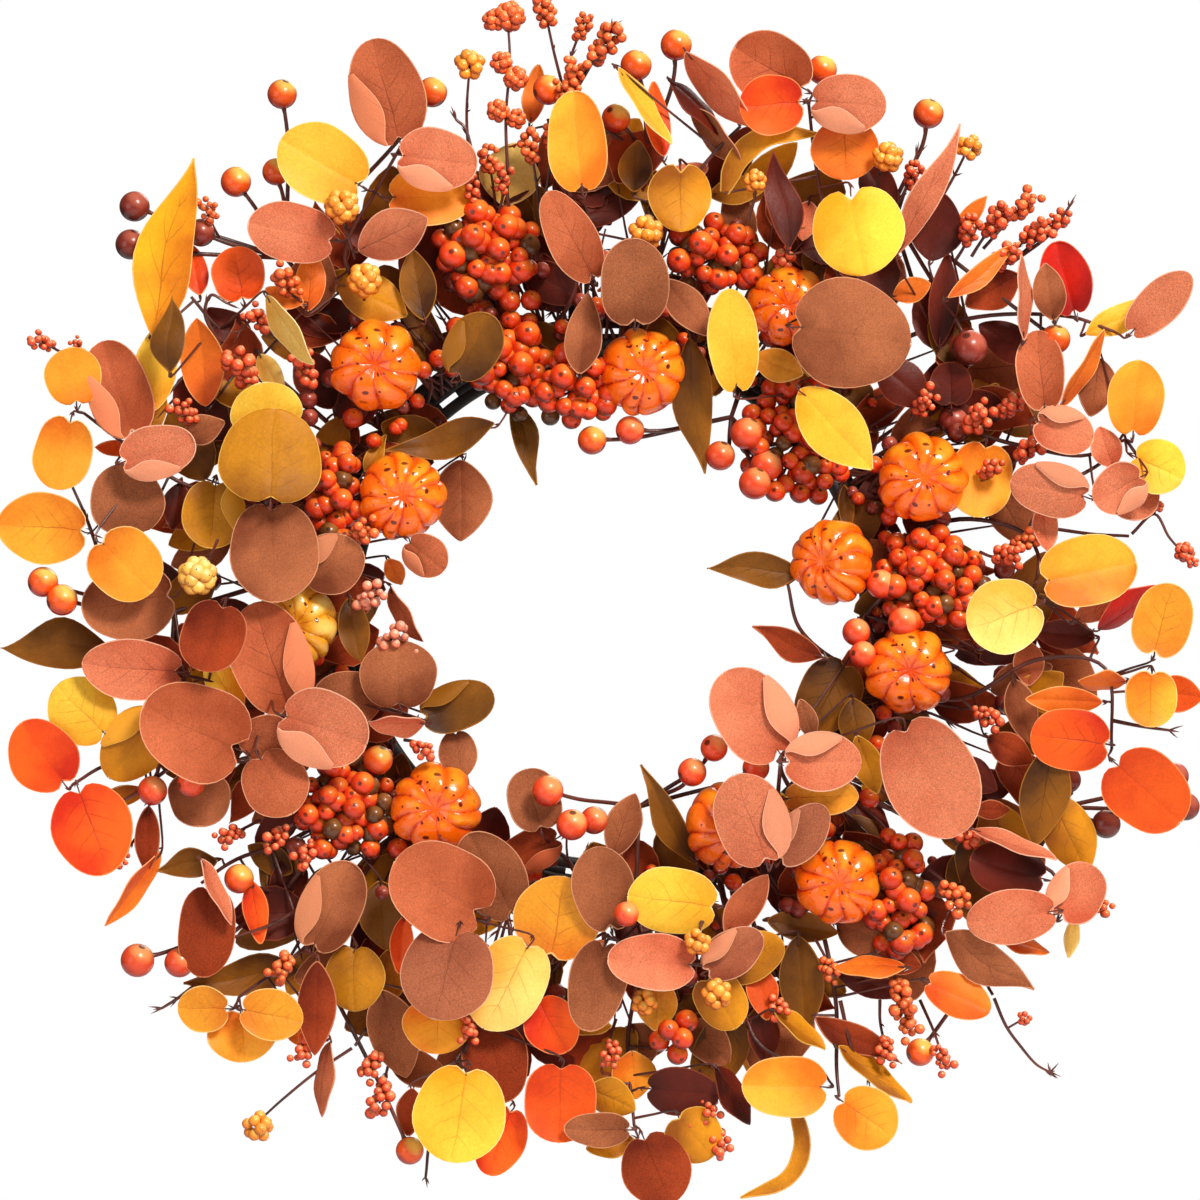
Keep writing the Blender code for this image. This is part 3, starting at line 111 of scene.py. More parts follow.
# Leaf bunches: name to (slot, stem, leaves). A stem runs from its place on the ring, as x and z, through
# points of x, z and depth. A leaf is (outline, x, z, heading, length, width, depth, colour): x and z are its
# middle, and heading is the way from its base to its tip in degrees, 0 to the right and 90 up.
BUNCHES = {
    "leaf_bunch_01": ("leaf_salmon", [
        (-88, 108), (-122, 158, 30), (-127, 178, 40), (-113, 203, 46), (-99, 227, 50),
    ], [
        ("folded", -106, 252, 105, 54, 37, 64, "terracotta"), ("round", -153, 183, 168, 44, 30, 60, "salmon"),
        ("folded", -81, 218, -8, 40, 31, 66, "salmon"), ("oval", -103, 182, 25, 38, 25, 58, "dusty"),
        ("round", -138, 217, 150, 47, 38, 62, "yellow"), ("round", -85, 201, 0, 42, 30, 50, "amber"),
        ("oval", -114, 151, -25, 38, 24, 42, "mustard"), ("oval", -145, 160, 85, 30, 16, 40, "orange"),
        ("oval", -91, 158, 100, 36, 18, 47, "olive"), ("oval", -45, 214, 80, 32, 30, 36, "pale_yellow"),
        ("oval", -90, 228, 120, 26, 18, 38, "maroon"), ("oval", -88, 176, 60, 40, 22, 30, "maroon"),
    ]),
    "leaf_bunch_02": ("leaf_mustard", [(-118, 70), (-160, 110, 26), (-190, 135, 34), (-205, 152, 38)], [
        ("lance", -213, 176, 76, 90, 30, 54, "golden"), ("lance", -213, 132, 90, 38, 18, 66, "olive"),
        ("round", -181, 163, 100, 28, 27, 42, "orange_red"),
        ("oval", -203, 166, 100, 26, 13, 36, "orange_red"),
        ("edge", -155, 134, -55, 42, 12, 60, "pale_yellow"), ("oval", -222, 116, 82, 46, 22, 47, "yellow"),
        ("oval", -199, 119, 95, 44, 22, 46, "orange"), ("oval", -158, 152, 160, 20, 12, 44, "orange"),
        ("oval", -165, 113, -60, 24, 12, 40, "pale_yellow"), ("oval", -186, 137, 140, 30, 16, 34, "maroon"),
        ("oval", -143, 112, 120, 34, 22, 26, "maroon"), ("oval", -225, 92, 60, 26, 14, 38, "mustard"),
    ]),
    "leaf_bunch_03": ("leaf_yellow", [
        (-126, 38), (-178, 48, 34), (-212, 60, 44), (-240, 80, 50), (-257, 93, 54),
    ], [
        ("round", -261, 111, 95, 29, 28, 64, "amber"), ("round", -267, 73, -105, 37, 30, 62, "amber"),
        ("round", -277, 36, 176, 45, 35, 58, "amber"), ("round", -235, 17, -45, 37, 36, 68, "amber"),
        ("folded", -240, 105, 108, 50, 32, 56, "terracotta"), ("folded", -219, 73, 15, 38, 27, 70, "salmon"),
        ("round", -235, 50, 105, 37, 36, 60, "brown"), ("folded", -193, 43, -95, 34, 32, 52, "mustard"),
        ("oval", -212, 47, -100, 24, 14, 44, "maroon"), ("oval", -198, 85, 20, 22, 15, 50, "brown"),
        ("round", -235, -1, 190, 46, 38, 54, "brown"), ("oval", -240, 76, 178, 26, 9, 40, "orange_red"),
    ]),
    "leaf_bunch_04": ("leaf_brown", [(-130, 8), (-148, 30, 40), (-165, 47, 58)], [
        ("round", -162, 71, 88, 48, 51, 72, "mustard"), ("round", -166, 95, 100, 26, 36, 58, "yellow"),
        ("round", -162, 24, -88, 50, 44, 66, "brown"), ("folded", -133, 18, 25, 32, 30, 56, "brown"),
        ("oval", -70, 50, -90, 41, 30, 28, "brown"), ("folded", -87, 22, -40, 24, 21, 52, "terracotta"),
        ("oval", -103, 14, -60, 14, 11, 38, "orange"), ("edge", -98, -8, -60, 32, 9, 46, "terracotta"),
        ("oval", -123, -15, -80, 32, 16, 44, "olive"), ("lance", -113, 74, 60, 22, 9, 30, "mustard"),
    ]),
    "leaf_bunch_05": ("leaf_terracotta", [(-130, -30), (-150, -48, 40), (-178, -44, 48), (-205, -38, 50)], [
        ("lance", -273, -24, 180, 54, 26, 40, "olive"), ("round", -232, -34, 175, 50, 30, 62, "salmon"),
        ("round", -192, -18, -110, 36, 33, 72, "rust"), ("folded", -163, -29, 108, 58, 40, 60, "terracotta"),
        ("oval", -188, -42, 120, 34, 18, 50, "yellow"), ("round", -126, -50, 20, 36, 30, 50, "brown"),
        ("round", -100, -37, 90, 34, 39, 60, "brown"), ("edge", -101, -62, 180, 28, 11, 56, "salmon"),
        ("folded", -137, -64, -20, 45, 39, 74, "salmon"), ("round", -161, -91, -60, 34, 33, 68, "terracotta"),
        ("round", -166, -69, 180, 27, 25, 62, "terracotta"), ("folded", -71, -53, 18, 38, 25, 50, "olive"),
        ("round", -71, -77, -85, 24, 19, 46, "brown"),
    ]),
    "leaf_bunch_06": ("leaf_orange_red", [
        (-128, -62), (-172, -80, 32), (-215, -78, 44), (-245, -82, 48), (-263, -92, 50),
    ], [
        ("round", -258, -55, 135, 36, 33, 56, "yellow"), ("heart", -201, -64, 155, 55, 48, 68, "terracotta"),
        ("folded", -232, -72, -128, 42, 31, 54, "mustard"),
        ("round", -277, -77, 125, 38, 34, 58, "orange_red"),
        ("round", -252, -114, -70, 46, 40, 64, "orange_red"), ("oval", -226, -120, -92, 33, 13, 48, "rust"),
        ("edge", -233, -145, -126, 46, 9, 46, "orange"), ("round", -200, -99, -90, 28, 32, 48, "brown"),
        ("oval", -240, -98, 190, 26, 10, 40, "mustard"),
    ]),
    "leaf_bunch_07": ("leaf_brown", [(-112, -90), (-150, -118, 26), (-182, -130, 34), (-200, -142, 38)], [
        ("lance", -207, -133, 190, 30, 16, 40, "olive"), ("round", -196, -165, -95, 46, 29, 56, "rust"),
        ("oval", -172, -156, -82, 32, 13, 46, "orange_red"), ("edge", -190, -145, -65, 36, 7, 62, "salmon"),
        ("folded", -134, -153, 65, 48, 32, 50, "brown"), ("oval", -109, -158, -85, 34, 24, 40, "olive"),
        ("oval", -166, -130, 150, 26, 15, 30, "olive"), ("lance", -180, -189, 186, 58, 20, 34, "olive"),
        ("round", -123, -189, -90, 33, 30, 48, "mustard"), ("oval", -104, -187, -80, 24, 17, 38, "mustard"),
        ("oval", -150, -186, -120, 30, 16, 30, "mustard"),
    ]),
    "leaf_bunch_08": ("leaf_yellow", [(-95, -104), (-128, -150, 30), (-150, -176, 44), (-180, -198, 52)], [
        ("round", -197, -203, 180, 26, 23, 62, "amber"), ("round", -163, -206, -12, 32, 25, 66, "amber"),
        ("round", -178, -217, -85, 26, 34, 56, "amber"), ("oval", -141, -203, -92, 47, 19, 60, "rust"),
        ("edge", -138, -239, -97, 38, 10, 54, "terracotta"), ("oval", -152, -216, -80, 14, 10, 46, "orange"),
    ]),
    "leaf_bunch_09": ("leaf_terracotta", [
        (-78, -115), (-66, -140, 40), (-66, -158, 56), (-80, -180, 50), (-88, -215, 44),
    ], [
        ("heart", -79, -143, 148, 53, 47, 70, "terracotta"), ("round", -54, -137, 118, 48, 33, 58, "brown"),
        ("round", -76, -184, -105, 47, 46, 76, "dusty"),
        ("round", -46, -191, -118, 50, 38, 64, "pale_yellow"), ("round", -81, -212, -92, 28, 34, 56, "amber"),
        ("oval", -103, -217, -75, 46, 26, 46, "brown"), ("oval", -99, -172, -95, 28, 12, 52, "orange_red"),
        ("oval", -90, -236, -20, 34, 18, 36, "brown"),
    ]),
    "leaf_bunch_10": ("leaf_orange_red", [(-58, -128), (-45, -170, 26), (-58, -205, 40), (-72, -230, 54)], [
        ("round", -70, -255, -100, 48, 46, 66, "yellow"), ("round", -52, -231, -80, 40, 33, 50, "rust"),
        ("round", -24, -212, -60, 30, 27, 54, "orange_red"),
        ("round", -20, -250, -92, 40, 37, 58, "orange_red"),
        ("round", -50, -270, -110, 36, 25, 50, "orange_red"), ("oval", -95, -256, -95, 24, 14, 44, "rust"),
    ]),
    "leaf_bunch_11": ("leaf_yellow", [
        (-30, -134), (-20, -128, 24), (-8, -145, 38), (2, -166, 50), (10, -170, 54),
    ], [
        ("round", -21, -158, 80, 42, 42, 60, "amber"), ("round", 2, -143, 100, 43, 31, 68, "brown"),
        ("round", 36, -149, 172, 45, 34, 70, "yellow"), ("round", 26, -179, 176, 44, 28, 72, "salmon"),
        ("round", -2, -191, -102, 46, 29, 66, "brown"), ("round", -33, -100, 105, 32, 27, 48, "brown"),
        ("folded", -36, -126, -155, 36, 22, 44, "rust"), ("oval", 12, -112, 70, 33, 18, 48, "brown"),
        ("lance", 34, -108, 118, 58, 15, 42, "olive"), ("oval", -5, -213, 0, 22, 10, 46, "mustard"),
        ("oval", 28, -202, -90, 26, 22, 50, "amber"),
    ]),
    "leaf_bunch_12": ("leaf_brown", [(18, -142), (20, -180, 26), (14, -222, 36), (17, -262, 48)], [
        ("round", -1, -263, 178, 33, 18, 62, "brown"), ("oval", 6, -249, -25, 26, 20, 50, "mustard"),
        ("oval", 5, -272, 190, 24, 14, 46, "mustard"), ("round", 28, -283, -68, 37, 34, 60, "rust"),
        ("round", 47, -267, -50, 28, 29, 56, "mustard"), ("round", 41, -245, -4, 37, 24, 54, "maroon"),
        ("edge", 67, -247, -58, 34, 13, 52, "maroon"), ("oval", 17, -238, -85, 24, 22, 42, "amber"),
        ("oval", 20, -222, 170, 26, 18, 32, "brown"),
    ]),
    "leaf_bunch_13": ("leaf_mustard", [
        (40, -136), (62, -165, 34), (70, -195, 42), (80, -222, 50), (112, -236, 56),
    ], [
        ("round", 92, -241, 178, 43, 31, 66, "amber"), ("folded", 66, -175, 35, 34, 23, 68, "dusty"),
        ("oval", 73, -151, 55, 36, 17, 60, "terracotta"), ("round", 74, -178, 22, 38, 25, 54, "mustard"),
        ("round", 60, -200, -60, 30, 26, 58, "mustard"), ("oval", 81, -196, -80, 27, 16, 50, "orange_red"),
        ("oval", 82, -218, -85, 28, 16, 48, "maroon"), ("edge", 100, -214, -37, 32, 9, 56, "mustard"),
        ("oval", 55, -222, -50, 30, 20, 38, "brown"), ("oval", 101, -192, -85, 48, 22, 40, "olive"),
    ]),
    "leaf_bunch_14": ("leaf_orange_red", [
        (88, -108), (110, -160, 28), (118, -200, 40), (118, -232, 50), (119, -247, 56),
    ], [
        ("round", 132, -257, -35, 32, 31, 66, "amber"), ("edge", 137, -236, -38, 45, 10, 56, "mustard"),
        ("lance", 129, -220, -28, 48, 15, 50, "rust"), ("edge", 134, -182, 180, 35, 10, 58, "orange"),
        ("oval", 135, -192, -20, 34, 14, 46, "maroon"), ("oval", 134, -168, -20, 32, 24, 34, "brown"),
        ("oval", 102, -164, -10, 36, 15, 36, "olive"), ("round", 178, -197, -25, 36, 21, 58, "orange"),
        ("oval", 150, -181, -15, 24, 14, 40, "rust"),
    ]),
    "leaf_bunch_15": ("leaf_salmon", [
        (112, -86), (160, -112, 26), (196, -126, 36), (226, -136, 44), (229, -156, 50),
    ], [
        ("round", 204, -157, 188, 45, 27, 66, "salmon"), ("folded", 237, -145, 55, 31, 28, 66, "salmon"),
        ("round", 203, -134, 165, 39, 27, 54, "maroon"), ("oval", 234, -117, -65, 44, 26, 50, "mustard"),
        ("oval", 221, -97, -100, 51, 25, 58, "olive"), ("lance", 194, -180, -33, 52, 23, 56, "brown"),
        ("edge", 212, -172, -15, 27, 8, 48, "orange"), ("oval", 236, -169, -100, 20, 8, 44, "pale_yellow"),
        ("edge", 206, -121, -20, 44, 8, 62, "salmon"), ("oval", 186, -88, -30, 30, 18, 40, "maroon"),
        ("oval", 196, -105, 0, 18, 10, 44, "rust"),
    ]),
    "leaf_bunch_16": ("leaf_salmon", [(98, -100), (92, -88, 30), (90, -78, 52)], [
        ("folded", 76, -57, 125, 51, 39, 66, "salmon"), ("folded", 110, -80, 0, 39, 29, 72, "salmon"),
        ("round", 110, -98, 2, 37, 19, 60, "amber"), ("folded", 75, -109, 110, 47, 37, 72, "salmon"),
        ("folded", 100, -116, 50, 36, 23, 66, "dusty"), ("round", 163, -88, -62, 63, 46, 74, "salmon"),
        ("round", 114, -48, -120, 40, 32, 40, "olive"), ("oval", 103, -59, 110, 20, 11, 58, "brown"),
        ("oval", 128, -62, -80, 26, 18, 48, "olive"), ("oval", 133, -82, -70, 30, 15, 56, "mustard"),
    ]),
    "leaf_bunch_17": ("leaf_orange_red", [
        (136, -38), (180, -50, 30), (218, -30, 42), (252, -34, 50), (255, -74, 54),
    ], [
        ("round", 271, -95, -42, 46, 39, 66, "orange_red"),
        ("round", 233, -69, 172, 40, 32, 66, "orange_red"), ("oval", 231, -50, 178, 38, 14, 56, "orange"),
        ("edge", 250, -41, 180, 24, 10, 56, "orange"), ("round", 273, -49, -92, 28, 27, 68, "amber"),
        ("oval", 288, -47, -8, 24, 19, 56, "orange_red"), ("round", 279, -10, 75, 37, 30, 68, "amber"),
        ("oval", 232, -17, 175, 32, 15, 40, "maroon"), ("oval", 211, -56, -75, 34, 16, 44, "brown"),
        ("oval", 205, -75, -30, 26, 16, 48, "rust"),
    ]),
    "leaf_bunch_18": ("leaf_amber", [(138, 22), (176, 40, 28), (208, 36, 38), (219, 22, 48), (216, 4, 54)], [
        ("round", 242, 14, 12, 49, 36, 66, "amber"), ("round", 200, -8, 200, 38, 37, 72, "pale_yellow"),
        ("edge", 264, -4, 35, 38, 15, 54, "red"), ("oval", 250, -3, 30, 30, 13, 48, "salmon"),
        ("oval", 222, 36, -85, 24, 13, 54, "salmon"), ("round", 190, 60, -100, 38, 33, 44, "amber"),
        ("oval", 207, 42, -60, 36, 22, 34, "brown"), ("oval", 215, -32, -90, 22, 16, 36, "terracotta"),
    ]),
    "leaf_bunch_19": ("leaf_salmon", [
        (126, 64), (168, 86, 28), (208, 78, 40), (240, 72, 48), (262, 80, 54),
    ], [
        ("round", 277, 66, -25, 28, 27, 64, "yellow"), ("round", 266, 100, 85, 38, 28, 64, "amber"),
        ("folded", 257, 55, -150, 28, 25, 70, "salmon"), ("oval", 268, 48, -150, 24, 16, 58, "salmon"),
        ("oval", 252, 76, 110, 21, 16, 56, "salmon"), ("folded", 223, 55, 168, 40, 27, 68, "salmon"),
        ("folded", 230, 84, -20, 30, 24, 66, "salmon"), ("round", 219, 114, 95, 41, 24, 62, "terracotta"),
        ("edge", 241, 115, 60, 44, 9, 56, "orange"), ("oval", 248, 107, -100, 30, 20, 42, "brown"),
        ("oval", 190, 96, 160, 34, 20, 34, "maroon"), ("round", 176, 108, 90, 22, 22, 40, "maroon"),
    ]),
    "leaf_bunch_20": ("leaf_maroon", [
        (100, 98), (150, 130, 26), (190, 142, 38), (232, 142, 46), (256, 134, 52),
    ], [
        ("round", 278, 147, 45, 42, 21, 62, "salmon"), ("lance", 260, 142, 28, 40, 15, 50, "yellow"),
        ("edge", 210, 150, 92, 42, 8, 66, "salmon"), ("round", 232, 160, 105, 38, 25, 54, "red"),
        ("oval", 223, 153, 100, 28, 17, 64, "brown"), ("lance", 191, 164, 37, 47, 11, 62, "orange"),
        ("oval", 196, 155, -150, 30, 20, 46, "rust"), ("oval", 172, 150, 85, 46, 15, 42, "maroon"),
        ("oval", 168, 186, 80, 34, 27, 50, "maroon"), ("lance", 164, 204, 65, 72, 15, 60, "salmon"),
        ("oval", 185, 192, 50, 26, 9, 44, "orange"), ("oval", 152, 108, -40, 34, 22, 40, "maroon"),
        ("oval", 205, 130, 150, 34, 20, 34, "maroon"), ("oval", 156, 155, 20, 20, 13, 44, "orange"),
    ]),
    "leaf_bunch_21": ("leaf_yellow", [
        (122, 84), (127, 126, 36), (117, 170, 46), (108, 215, 50), (104, 247, 54),
    ], [
        ("heart", 127, 182, -80, 44, 45, 74, "yellow"), ("round", 122, 224, -90, 30, 34, 58, "orange"),
        ("folded", 123, 246, -5, 38, 30, 68, "salmon"), ("round", 85, 264, 148, 42, 36, 60, "terracotta"),
        ("round", 85, 246, 185, 32, 30, 66, "orange_red"), ("lance", 90, 199, 98, 50, 18, 62, "maroon"),
        ("round", 66, 128, 95, 52, 25, 70, "yellow"), ("round", 124, 131, -8, 60, 54, 78, "brown"),
        ("oval", 89, 117, -20, 26, 17, 50, "amber"), ("point", 117, 84, -48, 54, 30, 72, "yellow"),
        ("oval", 103, 190, -100, 20, 14, 40, "salmon"), ("oval", 140, 206, -60, 30, 18, 40, "maroon"),
    ]),
    "leaf_bunch_22": ("leaf_brown", [(22, 122), (28, 160, 34), (36, 195, 44), (56, 222, 50), (70, 236, 54)], [
        ("edge", 59, 253, -48, 50, 14, 62, "salmon"), ("edge", 48, 246, -48, 36, 11, 54, "maroon"),
        ("edge", 58, 231, -50, 38, 11, 52, "brown"), ("edge", 22, 245, -56, 46, 10, 66, "yellow"),
        ("oval", 29, 239, 98, 38, 13, 56, "orange_red"), ("heart", 40, 200, -90, 34, 31, 58, "mustard"),
        ("oval", 18, 217, 85, 25, 17, 46, "olive"), ("oval", 43, 213, 20, 24, 12, 40, "salmon"),
        ("round", 17, 157, 92, 43, 35, 70, "brown"), ("oval", 44, 145, -50, 36, 18, 58, "brown"),
        ("lance", 48, 97, -84, 68, 21, 52, "olive"), ("oval", 5, 200, 30, 44, 20, 32, "maroon"),
        ("oval", 70, 206, 10, 30, 14, 34, "mustard"),
    ]),
    "leaf_bunch_23": ("leaf_terracotta", [(-30, 128), (-12, 158, 36), (-16, 198, 46), (-26, 240, 52)], [
        ("round", -11, 227, 95, 51, 30, 66, "amber"), ("oval", -33, 255, 82, 30, 12, 26, "orange"),
        ("round", -14, 180, 118, 50, 25, 68, "terracotta"), ("point", -8, 133, 85, 41, 19, 60, "brown"),
        ("folded", -63, 126, 60, 36, 28, 58, "olive"), ("lance", -38, 80, -75, 46, 13, 22, "olive"),
        ("lance", -80, 81, 194, 56, 18, 40, "olive"), ("oval", -25, 160, 150, 36, 20, 28, "maroon"),
        ("oval", 2, 108, 160, 24, 14, 26, "maroon"),
    ]),
    "leaf_bunch_24": ("leaf_brown", [(136, -36), (118, -30, 28), (100, -14, 36), (94, 8, 42)], [
        ("lance", 77, 15, 178, 47, 18, 44, "olive"), ("lance", 94, -21, 156, 38, 15, 40, "rust"),
        ("oval", 124, 46, -85, 24, 8, 26, "olive"),
    ]),
}

# Long blades that curl through their points: bunch to (points, width, colour).
CURLED = {
    "leaf_bunch_21": ([(62, 203, 52), (69, 220, 56), (84, 231, 58), (109, 232, 56)], 12, "mustard"),
    "leaf_bunch_13": ([(96, -250, 48), (101, -272, 48), (93, -289, 50), (70, -298, 52)], 9, "mustard"),
}

# Pumpkins: (x, z, diameter, depth, turn about the upright axis in degrees, slot).
PUMPKINS = [
    (-112, 117, 46, 46, 0, "pumpkin_orange"), (22, 114, 44, 46, 0, "pumpkin_orange"),
    (-99, 52, 44, 46, 4, "pumpkin_orange"), (-82, -104, 46, 44, 0, "pumpkin_orange"),
    (161, 61, 45, 48, 0, "pumpkin_orange"), (116, 19, 43, 46, -28, "pumpkin_orange"),
    (154, -35, 44, 46, 0, "pumpkin_orange"), (119, -141, 43, 46, 0, "pumpkin_orange"),
    (64, -113, 44, 44, 12, "pumpkin_orange"), (94, 147, 41, 44, 0, "pumpkin_orange"),
    (-152, -12, 42, 40, 0, "pumpkin_yellow"),
]

# Berry clusters: name to (x, z, half width, half height, depth of the middle, berry radius, berries).
CLUSTERS = {
    "berry_cluster_01": (-56, 175, 24, 22, 44, 6.2, 8),
    "berry_cluster_02": (-44, 118, 17, 26, 34, 5.8, 6),
    "berry_cluster_03": (58, 172, 22, 18, 44, 5.6, 6),
    "berry_cluster_04": (-12, 106, 20, 18, 46, 5.6, 7),
    "berry_cluster_05": (-132, 50, 11, 28, 44, 5.6, 5),
    "berry_cluster_06": (100, 80, 28, 30, 42, 5.4, 8),
    "berry_cluster_07": (166, 10, 26, 24, 44, 5.6, 8),
    "berry_cluster_08": (150, -150, 14, 34, 42, 5.8, 6),
    "berry_cluster_09": (-128, -104, 24, 24, 44, 5.6, 8),
    "berry_cluster_10": (38, -218, 9, 11, 52, 5.4, 4),
}

# Big berries on wires: name to (root x and z on the ring, hub, berries). A berry is (x, z, depth, radius).
BERRY_PICKS = {
    "berry_pick_01": ((-96, 96), (-158, 172, 30), [
        (-159, 253, 44, 7.4), (-162, 214, 46, 6.8), (-182, 209, 46, 7.6), (-233, 197, 42, 7.6),
        (-235, 178, 42, 7.6), (-200, 184, 40, 7.0), (-84, 254, 44, 7.6),
    ]),
    "berry_pick_02": ((34, 132), (24, 222, 36), [
        (18, 267, 48, 7.8), (38, 277, 50, 7.8), (8, 241, 44, 7.2), (-26, 255, 46, 7.6),
    ]),
    "berry_pick_03": ((92, 100), (146, 196, 30), [
        (111, 265, 46, 7.4), (164, 243, 48, 7.6), (185, 126, 44, 9.0), (178, 90, 30, 8.0),
        (227, 130, 54, 7.4),
    ]),
    "berry_pick_04": ((-132, 20), (-214, -6, 30), [
        (-278, 9, 50, 7.6), (-268, 0, 54, 7.8), (-223, -95, 54, 7.4), (-203, -91, 62, 6.8),
    ]),
    "berry_pick_05": ((70, 108), (66, 92, 30), [
        (-4, 80, 40, 7.2), (15, 85, 42, 7.2), (73, 83, 52, 8.0), (60, 72, 50, 7.4), (83, 67, 48, 8.0),
        (77, 58, 58, 8.0),
    ]),
    "berry_pick_06": ((138, -30), (134, -8, 30), [
        (140, 8, 50, 7.2), (151, -11, 52, 7.4), (128, -16, 48, 7.0), (131, -27, 52, 6.6),
    ]),
    "berry_pick_07": ((-108, -82), (-160, -148, 32), [
        (-231, -180, 48, 8.4), (-210, -181, 50, 7.4), (-180, -139, 52, 7.4), (-111, -80, 46, 7.4),
        (-95, -275, 48, 7.0),
    ]),
    "berry_pick_08": ((138, -72), (232, -104, 34), [
        (253, -112, 46, 7.2), (292, -103, 52, 7.0), (287, -88, 50, 6.8), (234, -90, 44, 6.6),
        (160, -226, 46, 7.0),
    ]),
    "berry_pick_09": ((14, -142), (20, -104, 26), [
        (-26, -95, 56, 7.8), (-14, -112, 54, 7.8), (-3, -110, 48, 7.0), (13, -155, 78, 6.2),
        (57, -74, 46, 6.8), (46, -86, 48, 7.2), (78, -84, 44, 6.8),
    ]),
}

# Seed picks that bend by hand: name to (colour, points from root to tip, heads). A head is (x, z, depth,
# radius, beads).
SEED_PICKS = {
    "seed_spray_top": (
        "seed_orange",
        [(-46, 212, 50), (-47, 240, 51), (-45, 268, 52), (-46, 289, 52)],
        [
            (-45, 291, 52, 8, 14), (-53, 289, 52, 6, 11), (-49, 268, 52, 6, 11), (-42, 260, 53, 6.5, 12),
            (-51, 244, 52, 6, 11), (-42, 240, 52, 5.5, 10),
        ],
    ),
    "seed_twig_right": (
        "seed_red",
        [(266, 33, 44), (277, 43, 46), (284, 32, 46), (289, 26, 46)],
        [(278, 47, 47, 4, 8), (292, 24, 46, 5.5, 10), (296, 19, 46, 3.5, 7)],
    ),
    "seed_twig_low_right": (
        "seed_red",
        [(197, -199, 46), (203, -213, 46), (211, -224, 46), (218, -232, 46), (225, -236, 46)],
        [(212, -209, 47, 4, 7)],
    ),
    "seed_flower_low_left": (
        "seed_amber",
        [(-124, -224, 46), (-142, -236, 46), (-158, -249, 46), (-168, -258, 46)],
        [(-171, -263, 47, 8, 9)],
    ),
}

# Twigs of the fixed bunches that carry the bending picks, as (x, z, depth) points.
CARRYING_TWIGS = {
    "leaf_bunch_23": [(-26, 132, 14), (-40, 170, 30), (-46, 200, 46), (-46, 210.2, 49.6)],
    "leaf_bunch_19": [(144, 50, 13), (190, 44, 24), (240, 34, 34), (264.6, 32, 43)],
    "leaf_bunch_14": [(100, -118, 13), (150, -150, 24), (185, -180, 36), (196.4, -197.4, 45)],
    "leaf_bunch_08": [(-84, -118, 13), (-95, -160, 24), (-112, -205, 38), (-122.4, -222.8, 45.4)],
}

